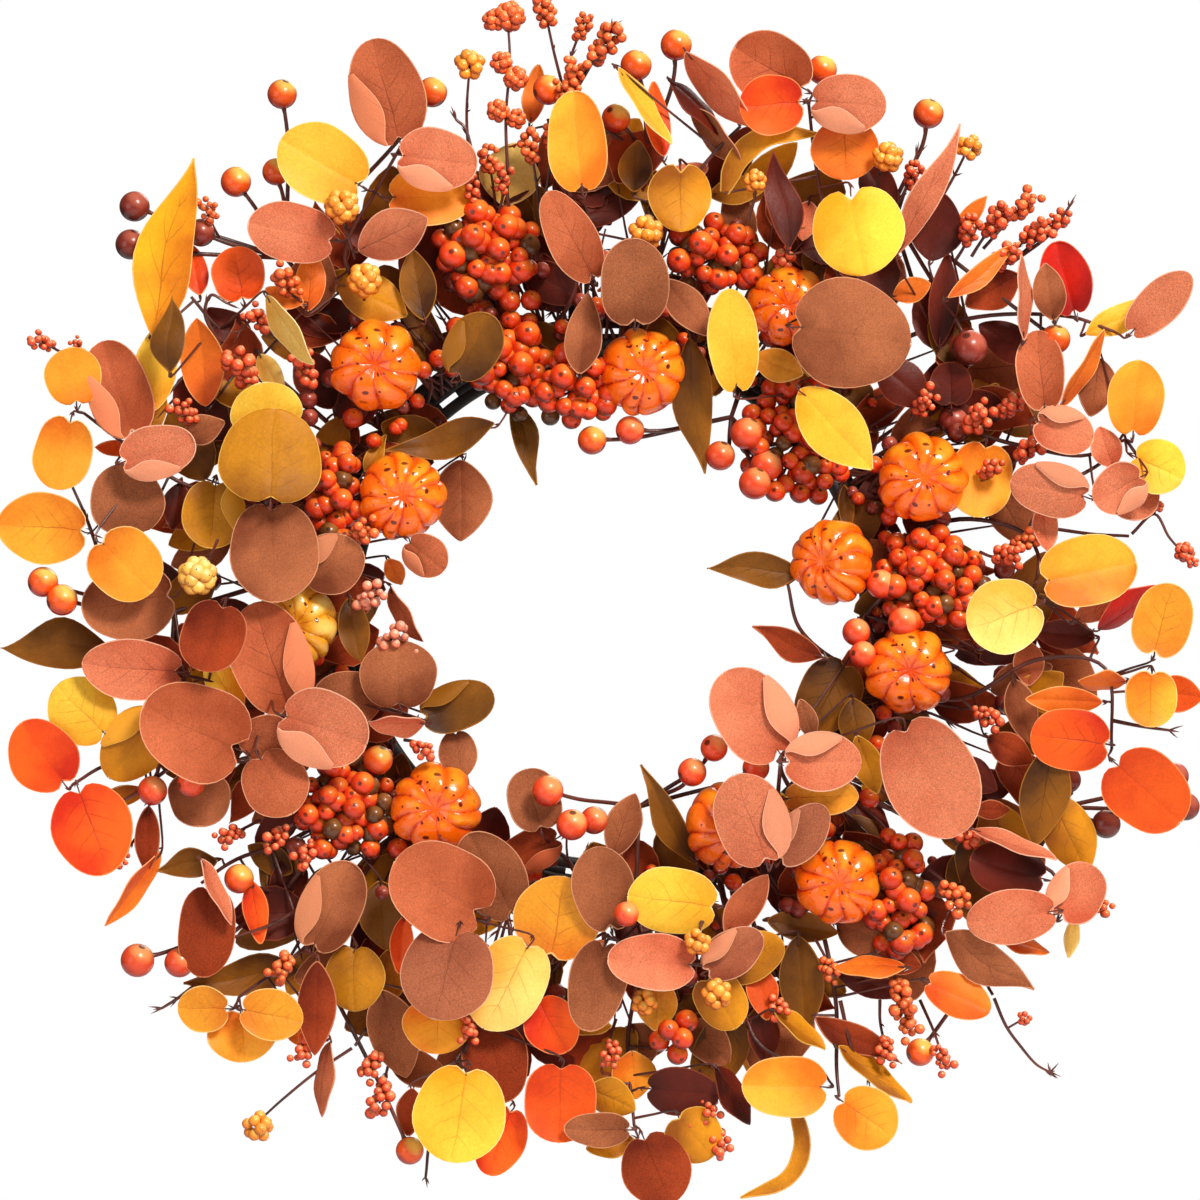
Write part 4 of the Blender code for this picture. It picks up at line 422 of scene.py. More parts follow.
# Seed heads of the fixed foliage: (x, z, depth, radius, beads, colour, root x, root z).
SEED_HEADS = [
    (-28, 297, 50, 7, 13, "seed_orange", -18, 255), (-35, 228, 54, 7, 13, "seed_orange", -30, 190),
    (-24, 233, 52, 6, 11, "seed_orange", -30, 190), (-8, 288, 50, 6, 11, "seed_orange", -18, 255),
    (4, 281, 50, 9, 16, "seed_orange", -18, 250), (-12, 264, 54, 7, 13, "seed_orange", -18, 230),
    (-18, 254, 54, 6, 11, "seed_orange", -18, 230), (-56, 222, 50, 6, 11, "seed_orange", -52, 190),
    (-48, 212, 54, 6, 11, "seed_red", -52, 190), (-64, 208, 52, 6, 11, "seed_red", -60, 180),
    (-65, 267, 52, 8, 9, "seed_amber", -66, 225), (184, 226, 50, 7, 8, "seed_amber", 168, 196),
    (-128, 195, 66, 9, 13, "seed_amber", -122, 170), (-117, 159, 60, 9, 13, "seed_amber", -118, 150),
    (23, 183, 56, 9, 12, "seed_amber", 28, 160), (-199, 12, 74, 10, 16, "seed_cream", -190, 30),
    (48, -169, 76, 7, 9, "seed_amber", 56, -150), (58, -195, 70, 8, 10, "seed_amber", 62, -175),
    (22, -200, 60, 7, 9, "seed_amber", 18, -190), (77, 208, 64, 6, 9, "seed_amber", 74, 190),
    (143, 220, 62, 8, 12, "seed_amber", 138, 200), (-158, 160, 58, 8, 13, "seed_orange", -150, 150),
    (-280, 130, 50, 6, 12, "seed_red", -266, 122), (-180, 118, 60, 9, 16, "seed_red", -172, 105),
    (-208, 95, 56, 7, 12, "seed_red", -198, 85), (-196, 196, 50, 6, 10, "seed_orange", -190, 180),
    (157, 214, 52, 6, 11, "seed_red", 150, 196), (185, 186, 56, 7, 12, "seed_red", 178, 170),
    (199, 191, 56, 8, 13, "seed_red", 186, 172), (213, 199, 54, 7, 12, "seed_orange", 192, 176),
    (219, 184, 56, 7, 12, "seed_red", 198, 168), (229, 190, 54, 6, 10, "seed_red", 205, 168),
    (204, 172, 56, 7, 12, "seed_red", 190, 160), (163, 100, 50, 7, 12, "seed_red", 156, 90),
    (190, 92, 52, 8, 13, "seed_red", 180, 80), (206, 98, 50, 7, 12, "seed_red", 190, 84),
    (215, 75, 54, 7, 12, "seed_red", 204, 66), (196, 66, 52, 6, 11, "seed_red", 186, 58),
    (-118, 35, 56, 7, 12, "seed_orange", -126, 28), (-113, 3, 60, 7, 12, "seed_pink", -124, -6),
    (-101, -18, 58, 8, 12, "seed_pink", -118, -30), (-93, -28, 56, 6, 9, "seed_pink", -112, -36),
    (-87, -75, 58, 6, 11, "seed_red", -98, -70), (250, -153, 54, 6, 11, "seed_orange", 236, -146),
    (150, -200, 62, 8, 12, "seed_orange", 146, -180), (153, -212, 60, 7, 11, "seed_orange", 146, -190),
    (143, -226, 58, 6, 10, "seed_red", 140, -200), (171, -230, 58, 6, 10, "seed_red", 160, -200),
    (-110, -251, 52, 8, 12, "seed_red", -104, -225), (-115, -234, 52, 7, 11, "seed_red", -104, -215),
    (-160, -185, 54, 7, 12, "seed_orange", -150, -170), (-148, -226, 56, 6, 10, "seed_red", -140, -205),
    (-65, -215, 60, 6, 11, "seed_red", -66, -195), (55, -255, 56, 6, 11, "seed_red", 50, -235),
    (60, -272, 54, 7, 11, "seed_red", 52, -245), (45, -262, 52, 6, 10, "seed_red", 48, -240),
    (-148, 118, 48, 8, 13, "seed_red", -144, 105), (-172, 142, 50, 7, 12, "seed_red", -160, 130),
    (92, 170, 50, 7, 12, "seed_red", 92, 155), (178, -150, 54, 8, 13, "seed_orange", 165, -135),
    (186, -120, 50, 7, 12, "seed_red", 172, -110), (195, -60, 52, 7, 12, "seed_red", 182, -50),
    (205, 22, 58, 7, 12, "seed_red", 190, 24), (214, 30, 54, 6, 11, "seed_orange", 200, 26),
    (-163, -120, 58, 7, 12, "seed_red", -150, -110), (-186, -118, 56, 6, 11, "seed_red", -170, -110),
    (-148, -128, 52, 7, 12, "seed_red", -138, -116), (90, -205, 56, 6, 10, "seed_red", 84, -190),
    (115, -186, 52, 6, 10, "seed_orange", 108, -170), (5, -228, 54, 6, 10, "seed_red", 8, -210),
    (-240, -130, 48, 5, 9, "seed_red", -226, -112), (-262, 128, 44, 4, 8, "seed_red", -255, 112),
]

# Bare forked twigs, as points of x, z and depth, each ending in small prongs.
TWIGS = [
    [(-203, -193, 46), (-211, -199, 46), (-219, -204, 46)],
    [(-66, -222, 50), (-76, -245, 50), (-82, -264, 50)], [(-72, -236, 50), (-84, -266, 50), (-87, -288, 50)],
    [(255, -60, 50), (270, -63, 50), (284, -65, 50)], [(-249, 20, 50), (-256, 40, 50), (-264, 58, 50)],
    [(-243, -65, 50), (-250, -58, 50), (-255, -53, 50)],
    [(-190, 128, 46), (-197, 142, 50), (-194, 152, 52), (-186, 148, 52)],
    [(-160, 130, 44), (-172, 140, 48), (-180, 134, 50)], [(130, 175, 46), (150, 200, 48), (158, 222, 48)],
    [(205, 168, 46), (224, 182, 50), (234, 196, 50)], [(-18, 245, 48), (-4, 268, 50), (6, 286, 50)],
    [(-60, 200, 48), (-66, 232, 50), (-72, 240, 50)], [(-210, -80, 46), (-238, -100, 50), (-250, -98, 50)],
    [(-130, -140, 40), (-160, -160, 46), (-182, -168, 48)],
    [(120, -200, 48), (126, -225, 50), (134, -238, 50)], [(236, 60, 50), (252, 70, 50), (262, 84, 50)],
]

LEAF_COLOURS = {
    # face, deeper shade, underside, rim, vein
    "terracotta": ((192, 100, 64), (148, 66, 36), (216, 124, 86), (246, 180, 140), (108, 46, 28)),
    "salmon": ((220, 126, 90), (188, 86, 56), (236, 150, 114), (252, 196, 164), (150, 68, 48)),
    "dusty": ((182, 104, 72), (136, 66, 44), (214, 136, 100), (238, 180, 146), (100, 50, 34)),
    "yellow": ((255, 202, 60), (248, 156, 18), (255, 190, 50), (255, 230, 150), (205, 120, 16)),
    "pale_yellow": ((250, 208, 110), (236, 166, 58), (250, 200, 100), (255, 235, 180), (200, 130, 50)),
    "amber": ((250, 164, 42), (226, 108, 14), (255, 186, 70), (255, 214, 140), (190, 86, 12)),
    "mustard": ((214, 138, 18), (140, 74, 8), (226, 154, 40), (240, 190, 90), (104, 54, 10)),
    "golden": ((244, 168, 20), (196, 104, 8), (246, 184, 60), (255, 216, 130), (150, 78, 10)),
    "olive": ((136, 80, 8), (66, 32, 4), (148, 90, 18), (184, 120, 44), (46, 22, 4)),
    "orange": ((246, 124, 34), (206, 72, 14), (250, 150, 70), (255, 190, 120), (165, 60, 16)),
    "orange_red": ((246, 92, 18), (196, 38, 6), (250, 120, 60), (255, 164, 96), (140, 24, 10)),
    "red": ((216, 30, 8), (140, 10, 6), (232, 66, 40), (250, 130, 90), (100, 8, 8)),
    "rust": ((160, 62, 28), (98, 30, 12), (190, 90, 54), (222, 138, 96), (72, 22, 14)),
    "brown": ((170, 98, 62), (112, 54, 30), (196, 122, 86), (226, 160, 120), (82, 38, 22)),
    "maroon": ((104, 30, 14), (52, 12, 6), (128, 46, 26), (154, 70, 44), (38, 10, 4)),
}
VELVET = {"terracotta", "salmon", "dusty", "brown", "rust"}
BERRY_COLOURS = {
    # lit side, middle, shaded side
    "berry_big": ((255, 204, 96), (244, 88, 18), (150, 16, 6)),
    "berry_red": ((255, 128, 44), (222, 56, 10), (104, 12, 4)),
    "berry_coral": ((255, 168, 100), (240, 76, 34), (166, 22, 12)),
    "berry_dark": ((196, 100, 78), (134, 44, 32), (62, 12, 8)),
    "berry_olive": ((150, 96, 46), (100, 56, 24), (48, 26, 14)),
    "seed_orange": ((255, 160, 92), (232, 92, 38), (140, 36, 16)),
    "seed_red": ((255, 160, 108), (226, 76, 34), (124, 24, 10)),
    "seed_amber": ((255, 206, 104), (250, 146, 34), (184, 78, 14)),
    "seed_cream": ((255, 232, 150), (250, 186, 76), (190, 108, 32)),
    "seed_pink": ((255, 200, 170), (240, 130, 96), (166, 58, 38)),
}

# Big berries that aren't orange but coral, or nearly black, by their x and z.
CORAL_BERRIES = {
    (-231, -180), (-210, -181), (-223, -95), (-203, -91), (15, 85), (73, 83), (60, 72), (83, 67), (77, 58),
    (140, 8), (151, -11), (128, -16), (131, -27), (-26, -95), (-14, -112), (-3, -110), (13, -155), (57, -74),
    (46, -86), (78, -84),
}
DARK_BERRIES = {
    (-233, 197), (-235, 178), (-200, 184), (185, 126), (178, 90), (253, -112), (292, -103), (287, -88),
    (234, -90),
}


def place(x, z, depth):
    """The point x, z from the wreath's centre, depth in front of its back, in metres."""
    return np.array([CENTRE[0] + x * MM, -depth * MM, CENTRE[2] + z * MM])


def linear(colour):
    """An sRGB colour of 0 to 255 as the linear one that a shader takes."""
    c = np.array(colour, float) / 255
    return (*np.where(c <= 0.04045, c / 12.92, ((c + 0.055) / 1.055) ** 2.4), 1.0)


def wander(*key):
    """A steady number from 0 to 1 for each key."""
    value = 0.0
    for i, part in enumerate(key):
        value += math.sin(part * (12.9898 + 7.13 * i) + 3.1 * i) * 43758.5453
    return value % 1.0


def unit(v):
    """The vector at a length of 1."""
    return v / max(np.linalg.norm(v), 1e-12)


# Shaders.


class Tree:
    """Adds nodes to a node tree; an input takes a value or another node's output."""

    def __init__(self, tree):
        self.tree = tree

    def add(self, kind, inputs=(), out=0, **settings):
        made = self.tree.nodes.new(kind)
        for name, value in settings.items():
            setattr(made, name, value)
        for name, value in dict(inputs).items():
            socket = made.inputs[name]
            if isinstance(value, bpy.types.NodeSocket):
                self.tree.links.new(value, socket)
            else:
                socket.default_value = value
        return made.outputs[out] if out is not None else made

    def math(self, operation, a, b=0.0, clamp=False):
        return self.add("ShaderNodeMath", {0: a, 1: b}, operation=operation, use_clamp=clamp)

    def mix(self, share, a, b):
        return self.add("ShaderNodeMix", {0: share, 6: a, 7: b}, out=2, data_type="RGBA")

    def fade(self, value, low, high, to_low=0.0, to_high=1.0):
        return self.add(
            "ShaderNodeMapRange",
            {"Value": value, "From Min": low, "From Max": high, "To Min": to_low, "To Max": to_high},
            interpolation_type="SMOOTHSTEP",
        )

    def attribute(self, name):
        return self.add("ShaderNodeAttribute", attribute_name=name, out=2)

    def group(self, tree, out, inputs=()):
        return self.add("ShaderNodeGroup", inputs, out=out, node_tree=tree)

    def link(self, output, node, name):
        self.tree.links.new(output, node.inputs[name])

    def bump(self, shader, height, strength, distance):
        made = self.add("ShaderNodeBump", {"Height": height, "Strength": strength, "Distance": distance})
        self.link(made, shader, "Normal")

    def noise(self, where, scale, detail=2.0):
        return self.add("ShaderNodeTexNoise", {"Vector": where, "Scale": scale, "Detail": detail})


def shader_group(name, inputs, outputs):
    """A shader node group with its sockets, and its input and output nodes."""
    group = bpy.data.node_groups.new(name, "ShaderNodeTree")
    for label, kind in inputs:
        group.interface.new_socket(name=label, in_out="INPUT", socket_type=kind)
    for label, kind in outputs:
        group.interface.new_socket(name=label, in_out="OUTPUT", socket_type=kind)
    t = Tree(group)
    return group, t, t.add("NodeGroupInput", out=None), t.add("NodeGroupOutput", out=None)


def make_vein_group():
    """Midrib and side veins of a leaf, from its own coordinates: across and along the blade."""
    group, t, start, end = shader_group(
        "leaf veins", [("Coordinates", "NodeSocketVector"), ("Side Veins", "NodeSocketFloat")],
        [("Mask", "NodeSocketFloat")],
    )
    waver = t.noise(start.outputs["Coordinates"], 5.0)
    bent = t.add("ShaderNodeVectorMath", {0: waver, 1: (0.5, 0.5, 0.5)}, operation="SUBTRACT")
    bent = t.add("ShaderNodeVectorMath", {0: bent, "Scale": 0.07}, operation="SCALE")
    bent = t.add("ShaderNodeVectorMath", {0: bent, 1: start.outputs["Coordinates"]}, operation="ADD")
    split = t.add("ShaderNodeSeparateXYZ", {0: bent}, out=None)
    across = t.math("ABSOLUTE", t.math("SUBTRACT", t.math("MULTIPLY", split.outputs[0], 2.0), 1.0))
    along = split.outputs[1]
    rib = t.fade(across, t.math("MULTIPLY", t.math("SUBTRACT", 1.15, along), 0.034), 0.0)
    steps = t.math("MULTIPLY", along, start.outputs["Side Veins"])
    steps = t.math("SUBTRACT", steps, t.math("MULTIPLY", across, 1.7))
    away = t.math("ABSOLUTE", t.math("SUBTRACT", t.math("FRACT", steps), 0.5))
    side = t.fade(away, 0.055, 0.0)
    side = t.math("MULTIPLY", side, t.fade(across, 0.85, 0.25))
    side = t.math("MULTIPLY", side, t.fade(along, 0.92, 0.7))
    t.link(t.math("MAXIMUM", rib, t.math("MULTIPLY", side, 0.7)), end, "Mask")
    return group


def make_grain_group():
    """Fine velvety grain and broad cloudy patches, as values round nought."""
    group, t, start, end = shader_group(
        "printed grain", [("Grain Size", "NodeSocketFloat"), ("Patch Size", "NodeSocketFloat")],
        [("Grain", "NodeSocketFloat"), ("Patches", "NodeSocketFloat")],
    )
    where = t.add("ShaderNodeTexCoord", out=3)
    grain = t.noise(where, start.outputs["Grain Size"], 3.0)
    patches = t.noise(where, start.outputs["Patch Size"], 3.0)
    t.link(t.math("SUBTRACT", grain, 0.5), end, "Grain")
    t.link(t.math("SUBTRACT", patches, 0.5), end, "Patches")
    return group


def new_material(name, **shader_values):
    """A material with its Principled shader's own values, and its tree."""
    made = bpy.data.materials.new(name)
    made.use_nodes = True
    shader = made.node_tree.nodes["Principled BSDF"]
    for label, value in shader_values.items():
        shader.inputs[label.replace("_", " ")].default_value = value
    return made, Tree(made.node_tree), shader


def leaf_material(name, veins, grain):
    """Printed fabric, clouded from its face colour to a deeper one, with a paler back and edge."""
    face, shade, under, rim, vein = (linear(c) for c in LEAF_COLOURS[name])
    velvet = name in VELVET
    made, t, shader = new_material(
        "leaf_" + name,
        Sheen_Weight=0.04 if velvet else 0.0,
        Sheen_Roughness=0.5,
        Specular_IOR_Level=0.1 if velvet else 0.22,
    )
    tone = t.attribute("tone")
    beneath = t.attribute("beneath")
    facing = t.math("SUBTRACT", 1.0, t.math("MULTIPLY", beneath, 0.7))
    uv = t.add("ShaderNodeUVMap", uv_map="blade")
    mask = t.group(veins, "Mask", {"Coordinates": uv, "Side Veins": 5.0})
    sizes = {"Grain Size": 1500.0 if velvet else 700.0, "Patch Size": 55.0}
    fine = t.group(grain, "Grain", sizes)
    patches = t.group(grain, "Patches", sizes)

    # The deeper shade gathers at the base and on one side.
    split = t.add("ShaderNodeSeparateXYZ", {0: uv}, out=None)
    low = t.fade(split.outputs[1], 0.62, -0.05)
    lean = t.fade(split.outputs[0], 1.0, 0.0)
    share = t.math("MULTIPLY", t.math("MULTIPLY", lean, tone), 0.8)
    share = t.math("ADD", t.math("MULTIPLY", low, 0.6), share)
    share = t.math("ADD", share, t.math("MULTIPLY", patches, 1.3), clamp=True)
    colour = t.mix(share, face, shade)
    colour = t.mix(beneath, colour, under)
    speck = t.math("MULTIPLY", fine, 1.3 if velvet else 0.4)
    bright = t.math("ADD", 1.0, t.math("MULTIPLY", t.math("SUBTRACT", tone, 0.5), 0.42))
    bright = t.math("ADD", bright, t.math("MULTIPLY", speck, facing))
    colour = t.add("ShaderNodeHueSaturation", {"Color": colour, "Value": bright})

    # Some leaves show their veins more than others.
    shown = t.fade(t.math("FRACT", t.math("MULTIPLY", tone, 7.0)), 0.5, 0.9, 0.14, 0.62)
    colour = t.mix(t.math("MULTIPLY", mask, t.math("MULTIPLY", shown, facing)), colour, vein)
    colour = t.mix(t.math("MULTIPLY", t.fade(t.attribute("rim"), 0.6, 0.2), 0.7), colour, rim)
    t.link(colour, shader, "Base Color")
    rough = t.fade(fine, -0.3, 0.3, 0.62 if velvet else 0.42, 0.85 if velvet else 0.6)
    t.link(rough, shader, "Roughness")
    height = t.math("MULTIPLY", mask, t.math("MULTIPLY", shown, -1.4))
    height = t.math("ADD", height, t.math("MULTIPLY", fine, 0.35))
    height = t.math("ADD", height, t.math("MULTIPLY", patches, 1.6))
    t.bump(shader, height, 0.45, 0.0007)
    return made


def berry_material(name, grain):
    """A glossy berry with painted light and shade, paler where its glow attribute is high, with a dark speck
    at its end.
    """
    light, middle, dark = (linear(c) for c in BERRY_COLOURS[name])
    made, t, shader = new_material(name, Coat_Weight=0.3, Coat_Roughness=0.12, Specular_IOR_Level=0.35)
    sizes = {"Grain Size": 900.0, "Patch Size": 160.0}
    fine = t.group(grain, "Grain", sizes)
    glow = t.math("ADD", t.attribute("glow"), t.math("MULTIPLY", t.group(grain, "Patches", sizes), 0.5))
    # Painted light and shade: the shaded colour on the side away from the light, the lit colour on the side
    # towards it.
    colour = t.mix(t.fade(glow, -0.55, 0.3), dark, middle)
    colour = t.mix(t.fade(glow, 0.42, 1.05), colour, light)
    bright = t.fade(t.attribute("tone"), 0.0, 1.0, 0.84, 1.14)
    colour = t.add("ShaderNodeHueSaturation", {"Color": colour, "Value": bright})
    speck = t.fade(t.attribute("pole"), 0.955, 0.985)
    colour = t.mix(t.math("MULTIPLY", speck, 0.85), colour, linear((60, 24, 14)))
    t.link(colour, shader, "Base Color")
    t.link(t.fade(fine, -0.3, 0.3, 0.22, 0.4), shader, "Roughness")
    t.bump(shader, t.math("SUBTRACT", t.math("MULTIPLY", fine, 0.4), speck), 0.3, 0.0004)
    return made


def pumpkin_material(name, light, middle, dark, grain):
    """Lacquered foam with painted light and shade: painted highlights on the lobe crests and the upper right,
    painted shade in the grooves and round the crown, and dark red flecks that run out from the middle.
    """
    made, t, shader = new_material(name, Coat_Weight=0.7, Coat_Roughness=0.1, Specular_IOR_Level=0.3)
    sizes = {"Grain Size": 500.0, "Patch Size": 110.0}
    fine = t.group(grain, "Grain", sizes)
    patches = t.group(grain, "Patches", sizes)
    # Painted light and shade: towards the lit colour on the lobe crests and the lit side, towards the shaded
    # colour in the grooves.
    crest = t.math("ADD", t.attribute("crest"), t.math("MULTIPLY", patches, 1.0))
    colour = t.mix(t.fade(crest, 0.0, 0.75), linear(dark), linear(middle))
    colour = t.mix(t.fade(crest, 0.8, 1.35), colour, linear(light))
    uv = t.add("ShaderNodeUVMap", uv_map="blade")
    flecks = []
    for columns, rows, share in ((13.0, 13.0, 0.42), (31.0, 21.0, 0.2)):
        stretched = t.add("ShaderNodeMapping", {"Vector": uv, "Scale": (columns, rows, 1.0)})
        cells = t.add("ShaderNodeTexVoronoi", {"Vector": stretched, "Scale": 1.0}, out=None)
        chosen = t.add("ShaderNodeSeparateColor", {0: cells.outputs["Color"]})
        fleck = t.fade(cells.outputs["Distance"], 0.3, 0.2)
        flecks.append(t.math("MULTIPLY", fleck, t.math("LESS_THAN", chosen, share)))
    split = t.add("ShaderNodeSeparateXYZ", {0: uv}, out=None)
    fleck = t.math("MULTIPLY", t.math("MAXIMUM", *flecks), t.fade(split.outputs[1], 0.02, 0.05))
    fleck = t.math("MULTIPLY", fleck, t.fade(split.outputs[1], 0.46, 0.2))
    colour = t.mix(fleck, colour, linear((104, 20, 2)))
    t.link(colour, shader, "Base Color")
    t.link(t.fade(fine, -0.3, 0.3, 0.2, 0.36), shader, "Roughness")
    height = t.math("SUBTRACT", t.math("MULTIPLY", patches, 2.2), t.math("MULTIPLY", fleck, 0.6))
    height = t.math("ADD", height, t.math("MULTIPLY", fine, 0.25))
    t.bump(shader, height, 0.5, 0.0008)
    return made


def plain_material(name, one, two, grain, rough, **values):
    """Moulded plastic or painted wire, whose colour drifts between two shades."""
    made, t, shader = new_material(name, **values)
    sizes = {"Grain Size": 400.0, "Patch Size": 45.0}
    fine = t.group(grain, "Grain", sizes)
    mixed = t.fade(t.group(grain, "Patches", sizes), -0.25, 0.25)
    t.link(t.mix(mixed, linear(one), linear(two)), shader, "Base Color")
    t.link(t.fade(fine, -0.3, 0.3, rough - 0.12, rough + 0.12), shader, "Roughness")
    t.bump(shader, fine, 0.4, 0.0004)
    return made


veins = make_vein_group()
grain = make_grain_group()
MATERIALS = {"leaf_" + name: leaf_material(name, veins, grain) for name in LEAF_COLOURS}
MATERIALS.update({name: berry_material(name, grain) for name in BERRY_COLOURS})
# Pumpkin colours: painted highlight, middle, painted shade.
for name, *shades in (
    ("pumpkin_orange", (255, 156, 30), (252, 104, 2), (206, 46, 0)),
    ("pumpkin_yellow", (255, 215, 110), (248, 170, 40), (205, 110, 16)),
):
    MATERIALS[name] = pumpkin_material(name, *shades, grain)
for name, one, two, rough, values in (
    ("stem", (112, 50, 36), (56, 24, 18), 0.5, {"Coat_Weight": 0.15}),
    ("ring_plastic", (34, 31, 30), (20, 18, 18), 0.5, {}),
    ("hanger_wire", (70, 62, 56), (44, 38, 34), 0.35, {"Metallic": 0.8}),
):
    MATERIALS[name] = plain_material(name, one, two, grain, rough, **values)


# Meshes.


class Piece:
    """Collects surfaces, and makes them one mesh with its materials and its attributes."""

    def __init__(self):
        self.points, self.faces, self.uvs, self.slots = [], [], [], []
        self.values = {"tone": [], "beneath": [], "rim": [], "glow": [], "pole": [], "crest": []}
        self.count = 0
        self.materials = []

    def add(self, points, faces, material, uv=None, **values):
        """points (n, 3) and faces (m, 4); a value is one number or one for each point."""
        n = len(points)
        self.points.append(points)
        self.faces.append(np.asarray(faces) + self.count)
        self.uvs.append(np.zeros((n, 2)) if uv is None else uv)
        for name, kept in self.values.items():
            given = values.get(name, 1.0 if name == "rim" else 0.0)
            kept.append(np.broadcast_to(np.asarray(given, float).reshape(-1), (n,)))
        if material not in self.materials:
            self.materials.append(material)
        self.slots.append(np.full(len(faces), self.materials.index(material)))
        self.count += n

    def finish(self, name, body, node=None):
        """One smooth mesh of all the surfaces, as a piece of the wreath."""
        points = np.concatenate(self.points)
        faces = np.concatenate(self.faces)
        mesh = bpy.data.meshes.new(name)
        mesh.from_pydata(points.tolist(), [], faces.tolist())
        for material in self.materials:
            mesh.materials.append(MATERIALS[material])
        mesh.polygons.foreach_set("material_index", np.concatenate(self.slots))
        mesh.polygons.foreach_set("use_smooth", np.ones(len(faces), bool))
        uv = mesh.uv_layers.new(name="blade")
        corners = np.empty(len(mesh.loops), int)
        mesh.loops.foreach_get("vertex_index", corners)
        uv.data.foreach_set("uv", np.concatenate(self.uvs)[corners].astype(np.float32).reshape(-1))
        for label, kept in self.values.items():
            made = mesh.attributes.new(label, "FLOAT", "POINT")
            made.data.foreach_set("value", np.concatenate(kept).astype(np.float32))
        mesh.update()
        mesh.set_sharp_from_angle(angle=math.radians(50))
        return finished(name, mesh, body, node)


def finished(name, mesh, body, node=None):
    """The mesh as a piece of the wreath, on its body and standing for its CAD node."""
    obj = bpy.data.objects.new(name, mesh)
    bpy.context.scene.collection.objects.link(obj)
    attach(obj, body)
    if node:
        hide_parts(node)
    return obj


def grid_faces(rows, columns, wrap=False):
    """The quads of a grid of points, whose last column joins its first if it wraps."""
    r, c = np.meshgrid(np.arange(rows - 1), np.arange(columns if wrap else columns - 1), indexing="ij")
    d = (c + 1) % columns
    corners = [r * columns + c, r * columns + d, (r + 1) * columns + d, (r + 1) * columns + c]
    return np.stack(corners, -1).reshape(-1, 4)


def smooth_path(points, steps=6):
    """A smooth curve through the points."""
    p = np.array(points, float)
    if len(p) < 3:
        return np.linspace(p[0], p[-1], 3)
    p = np.vstack([2 * p[0] - p[1], p, 2 * p[-1] - p[-2]])
    out = []
    for i in range(1, len(p) - 2):
        for u in np.linspace(0, 1, steps, endpoint=False):
            a, b, c, d = p[i - 1:i + 3]
            square, cube = 2 * a - 5 * b + 4 * c - d, 3 * b - a - 3 * c + d
            out.append(0.5 * (2 * b + (c - a) * u + square * u * u + cube * u ** 3))
    return np.array([*out, p[-2]])


def add_tube(piece, path, radii, material="stem", sides=8, tone=0.5):
    """A closed tube along a path, in metres; radii in millimetres at its start and end."""
    path = np.asarray(path)
    n = len(path)
    radii = np.interp(np.linspace(0, 1, n), np.linspace(0, 1, len(radii)), radii) * MM
    ways = np.gradient(path, axis=0)
    side = unit(np.cross(ways[0], (0.3, 0.9, 0.2)))
    rings = []
    for spot, way, radius in zip(path, ways, radii):
        way = unit(way)
        side = unit(side - way * side.dot(way))
        other = np.cross(way, side)
        turn = np.linspace(0, 2 * np.pi, sides, endpoint=False)[:, None]
        rings.append(spot + radius * (np.cos(turn) * side + np.sin(turn) * other))
    rings = [np.tile(path[0], (sides, 1)), *rings, np.tile(path[-1], (sides, 1))]
    rings[0] = rings[0] * 0.999 + rings[1] * 0.001
    rings[-1] = rings[-1] * 0.999 + rings[-2] * 0.001
    points = np.concatenate(rings)
    piece.add(points, grid_faces(n + 2, sides, wrap=True)[:, ::-1], material, tone=tone)


# Leaves.

# A blade's rows and columns, closer together where it bends most.
ACROSS = np.array([
    -1, -0.975, -0.93, -0.84, -0.66, -0.42, -0.2, -0.07, 0, 0.07, 0.2, 0.42, 0.66, 0.84, 0.93, 0.975, 1,
])
ALONG = 0.5 - 0.5 * np.cos(np.linspace(0.0, math.pi, 19))


def outline_width(outline, s):
    """Half the blade's width at s along it, as a share of its widest."""
    if outline in ("round", "folded", "heart"):
        egg = s ** (0.84 if outline == "heart" else 0.92)
        return np.clip(1 - np.abs(2 * egg - 1) ** 2.1, 0, 1) ** (1 / 2.02)
    if outline == "lance":
        return np.clip(np.sin(math.pi * s ** 0.78), 0, 1) ** 1.15 * 0.97 + 0.03 * (1 - s)
    if outline == "point":
        swell = np.sin(np.minimum(s / 0.42, 1) * math.pi / 2) ** 0.6
        taper = np.clip(np.cos((s - 0.42) / 0.58 * math.pi / 2), 0, 1) ** 0.9
        return np.where(s < 0.42, swell, taper)
    return np.clip(np.sin(math.pi * s ** 0.9), 0, 1) ** 0.72


def leaf_frame(x, z, heading, length, width, depth, outline):
    """Where a leaf's middle is, its three directions, and its true length and width in millimetres."""
    a = math.radians(heading)
    along = np.array([math.cos(a), 0, math.sin(a)])
    across = np.array([-math.sin(a), 0, math.cos(a)])
    tilt = math.radians(LEAF_TILT * math.sin(0.37 * x + 0.21 * z))
    roll = math.radians(LEAF_ROLL * math.sin(0.19 * x - 0.33 * z))
    if outline == "edge":
        roll = math.radians(EDGE_ROLL) * (1 if math.sin(x) > 0 else -1)
    along = unit(along * math.cos(tilt) + np.array([0, -math.sin(tilt), 0]))
    across = unit(across * math.cos(roll) + np.cross(along, across) * math.sin(roll))
    front = np.cross(along, across)
    if front[1] > 0:
        front = -front
    return place(x, z, depth), along, across, front, length / math.cos(tilt), width / math.cos(roll)


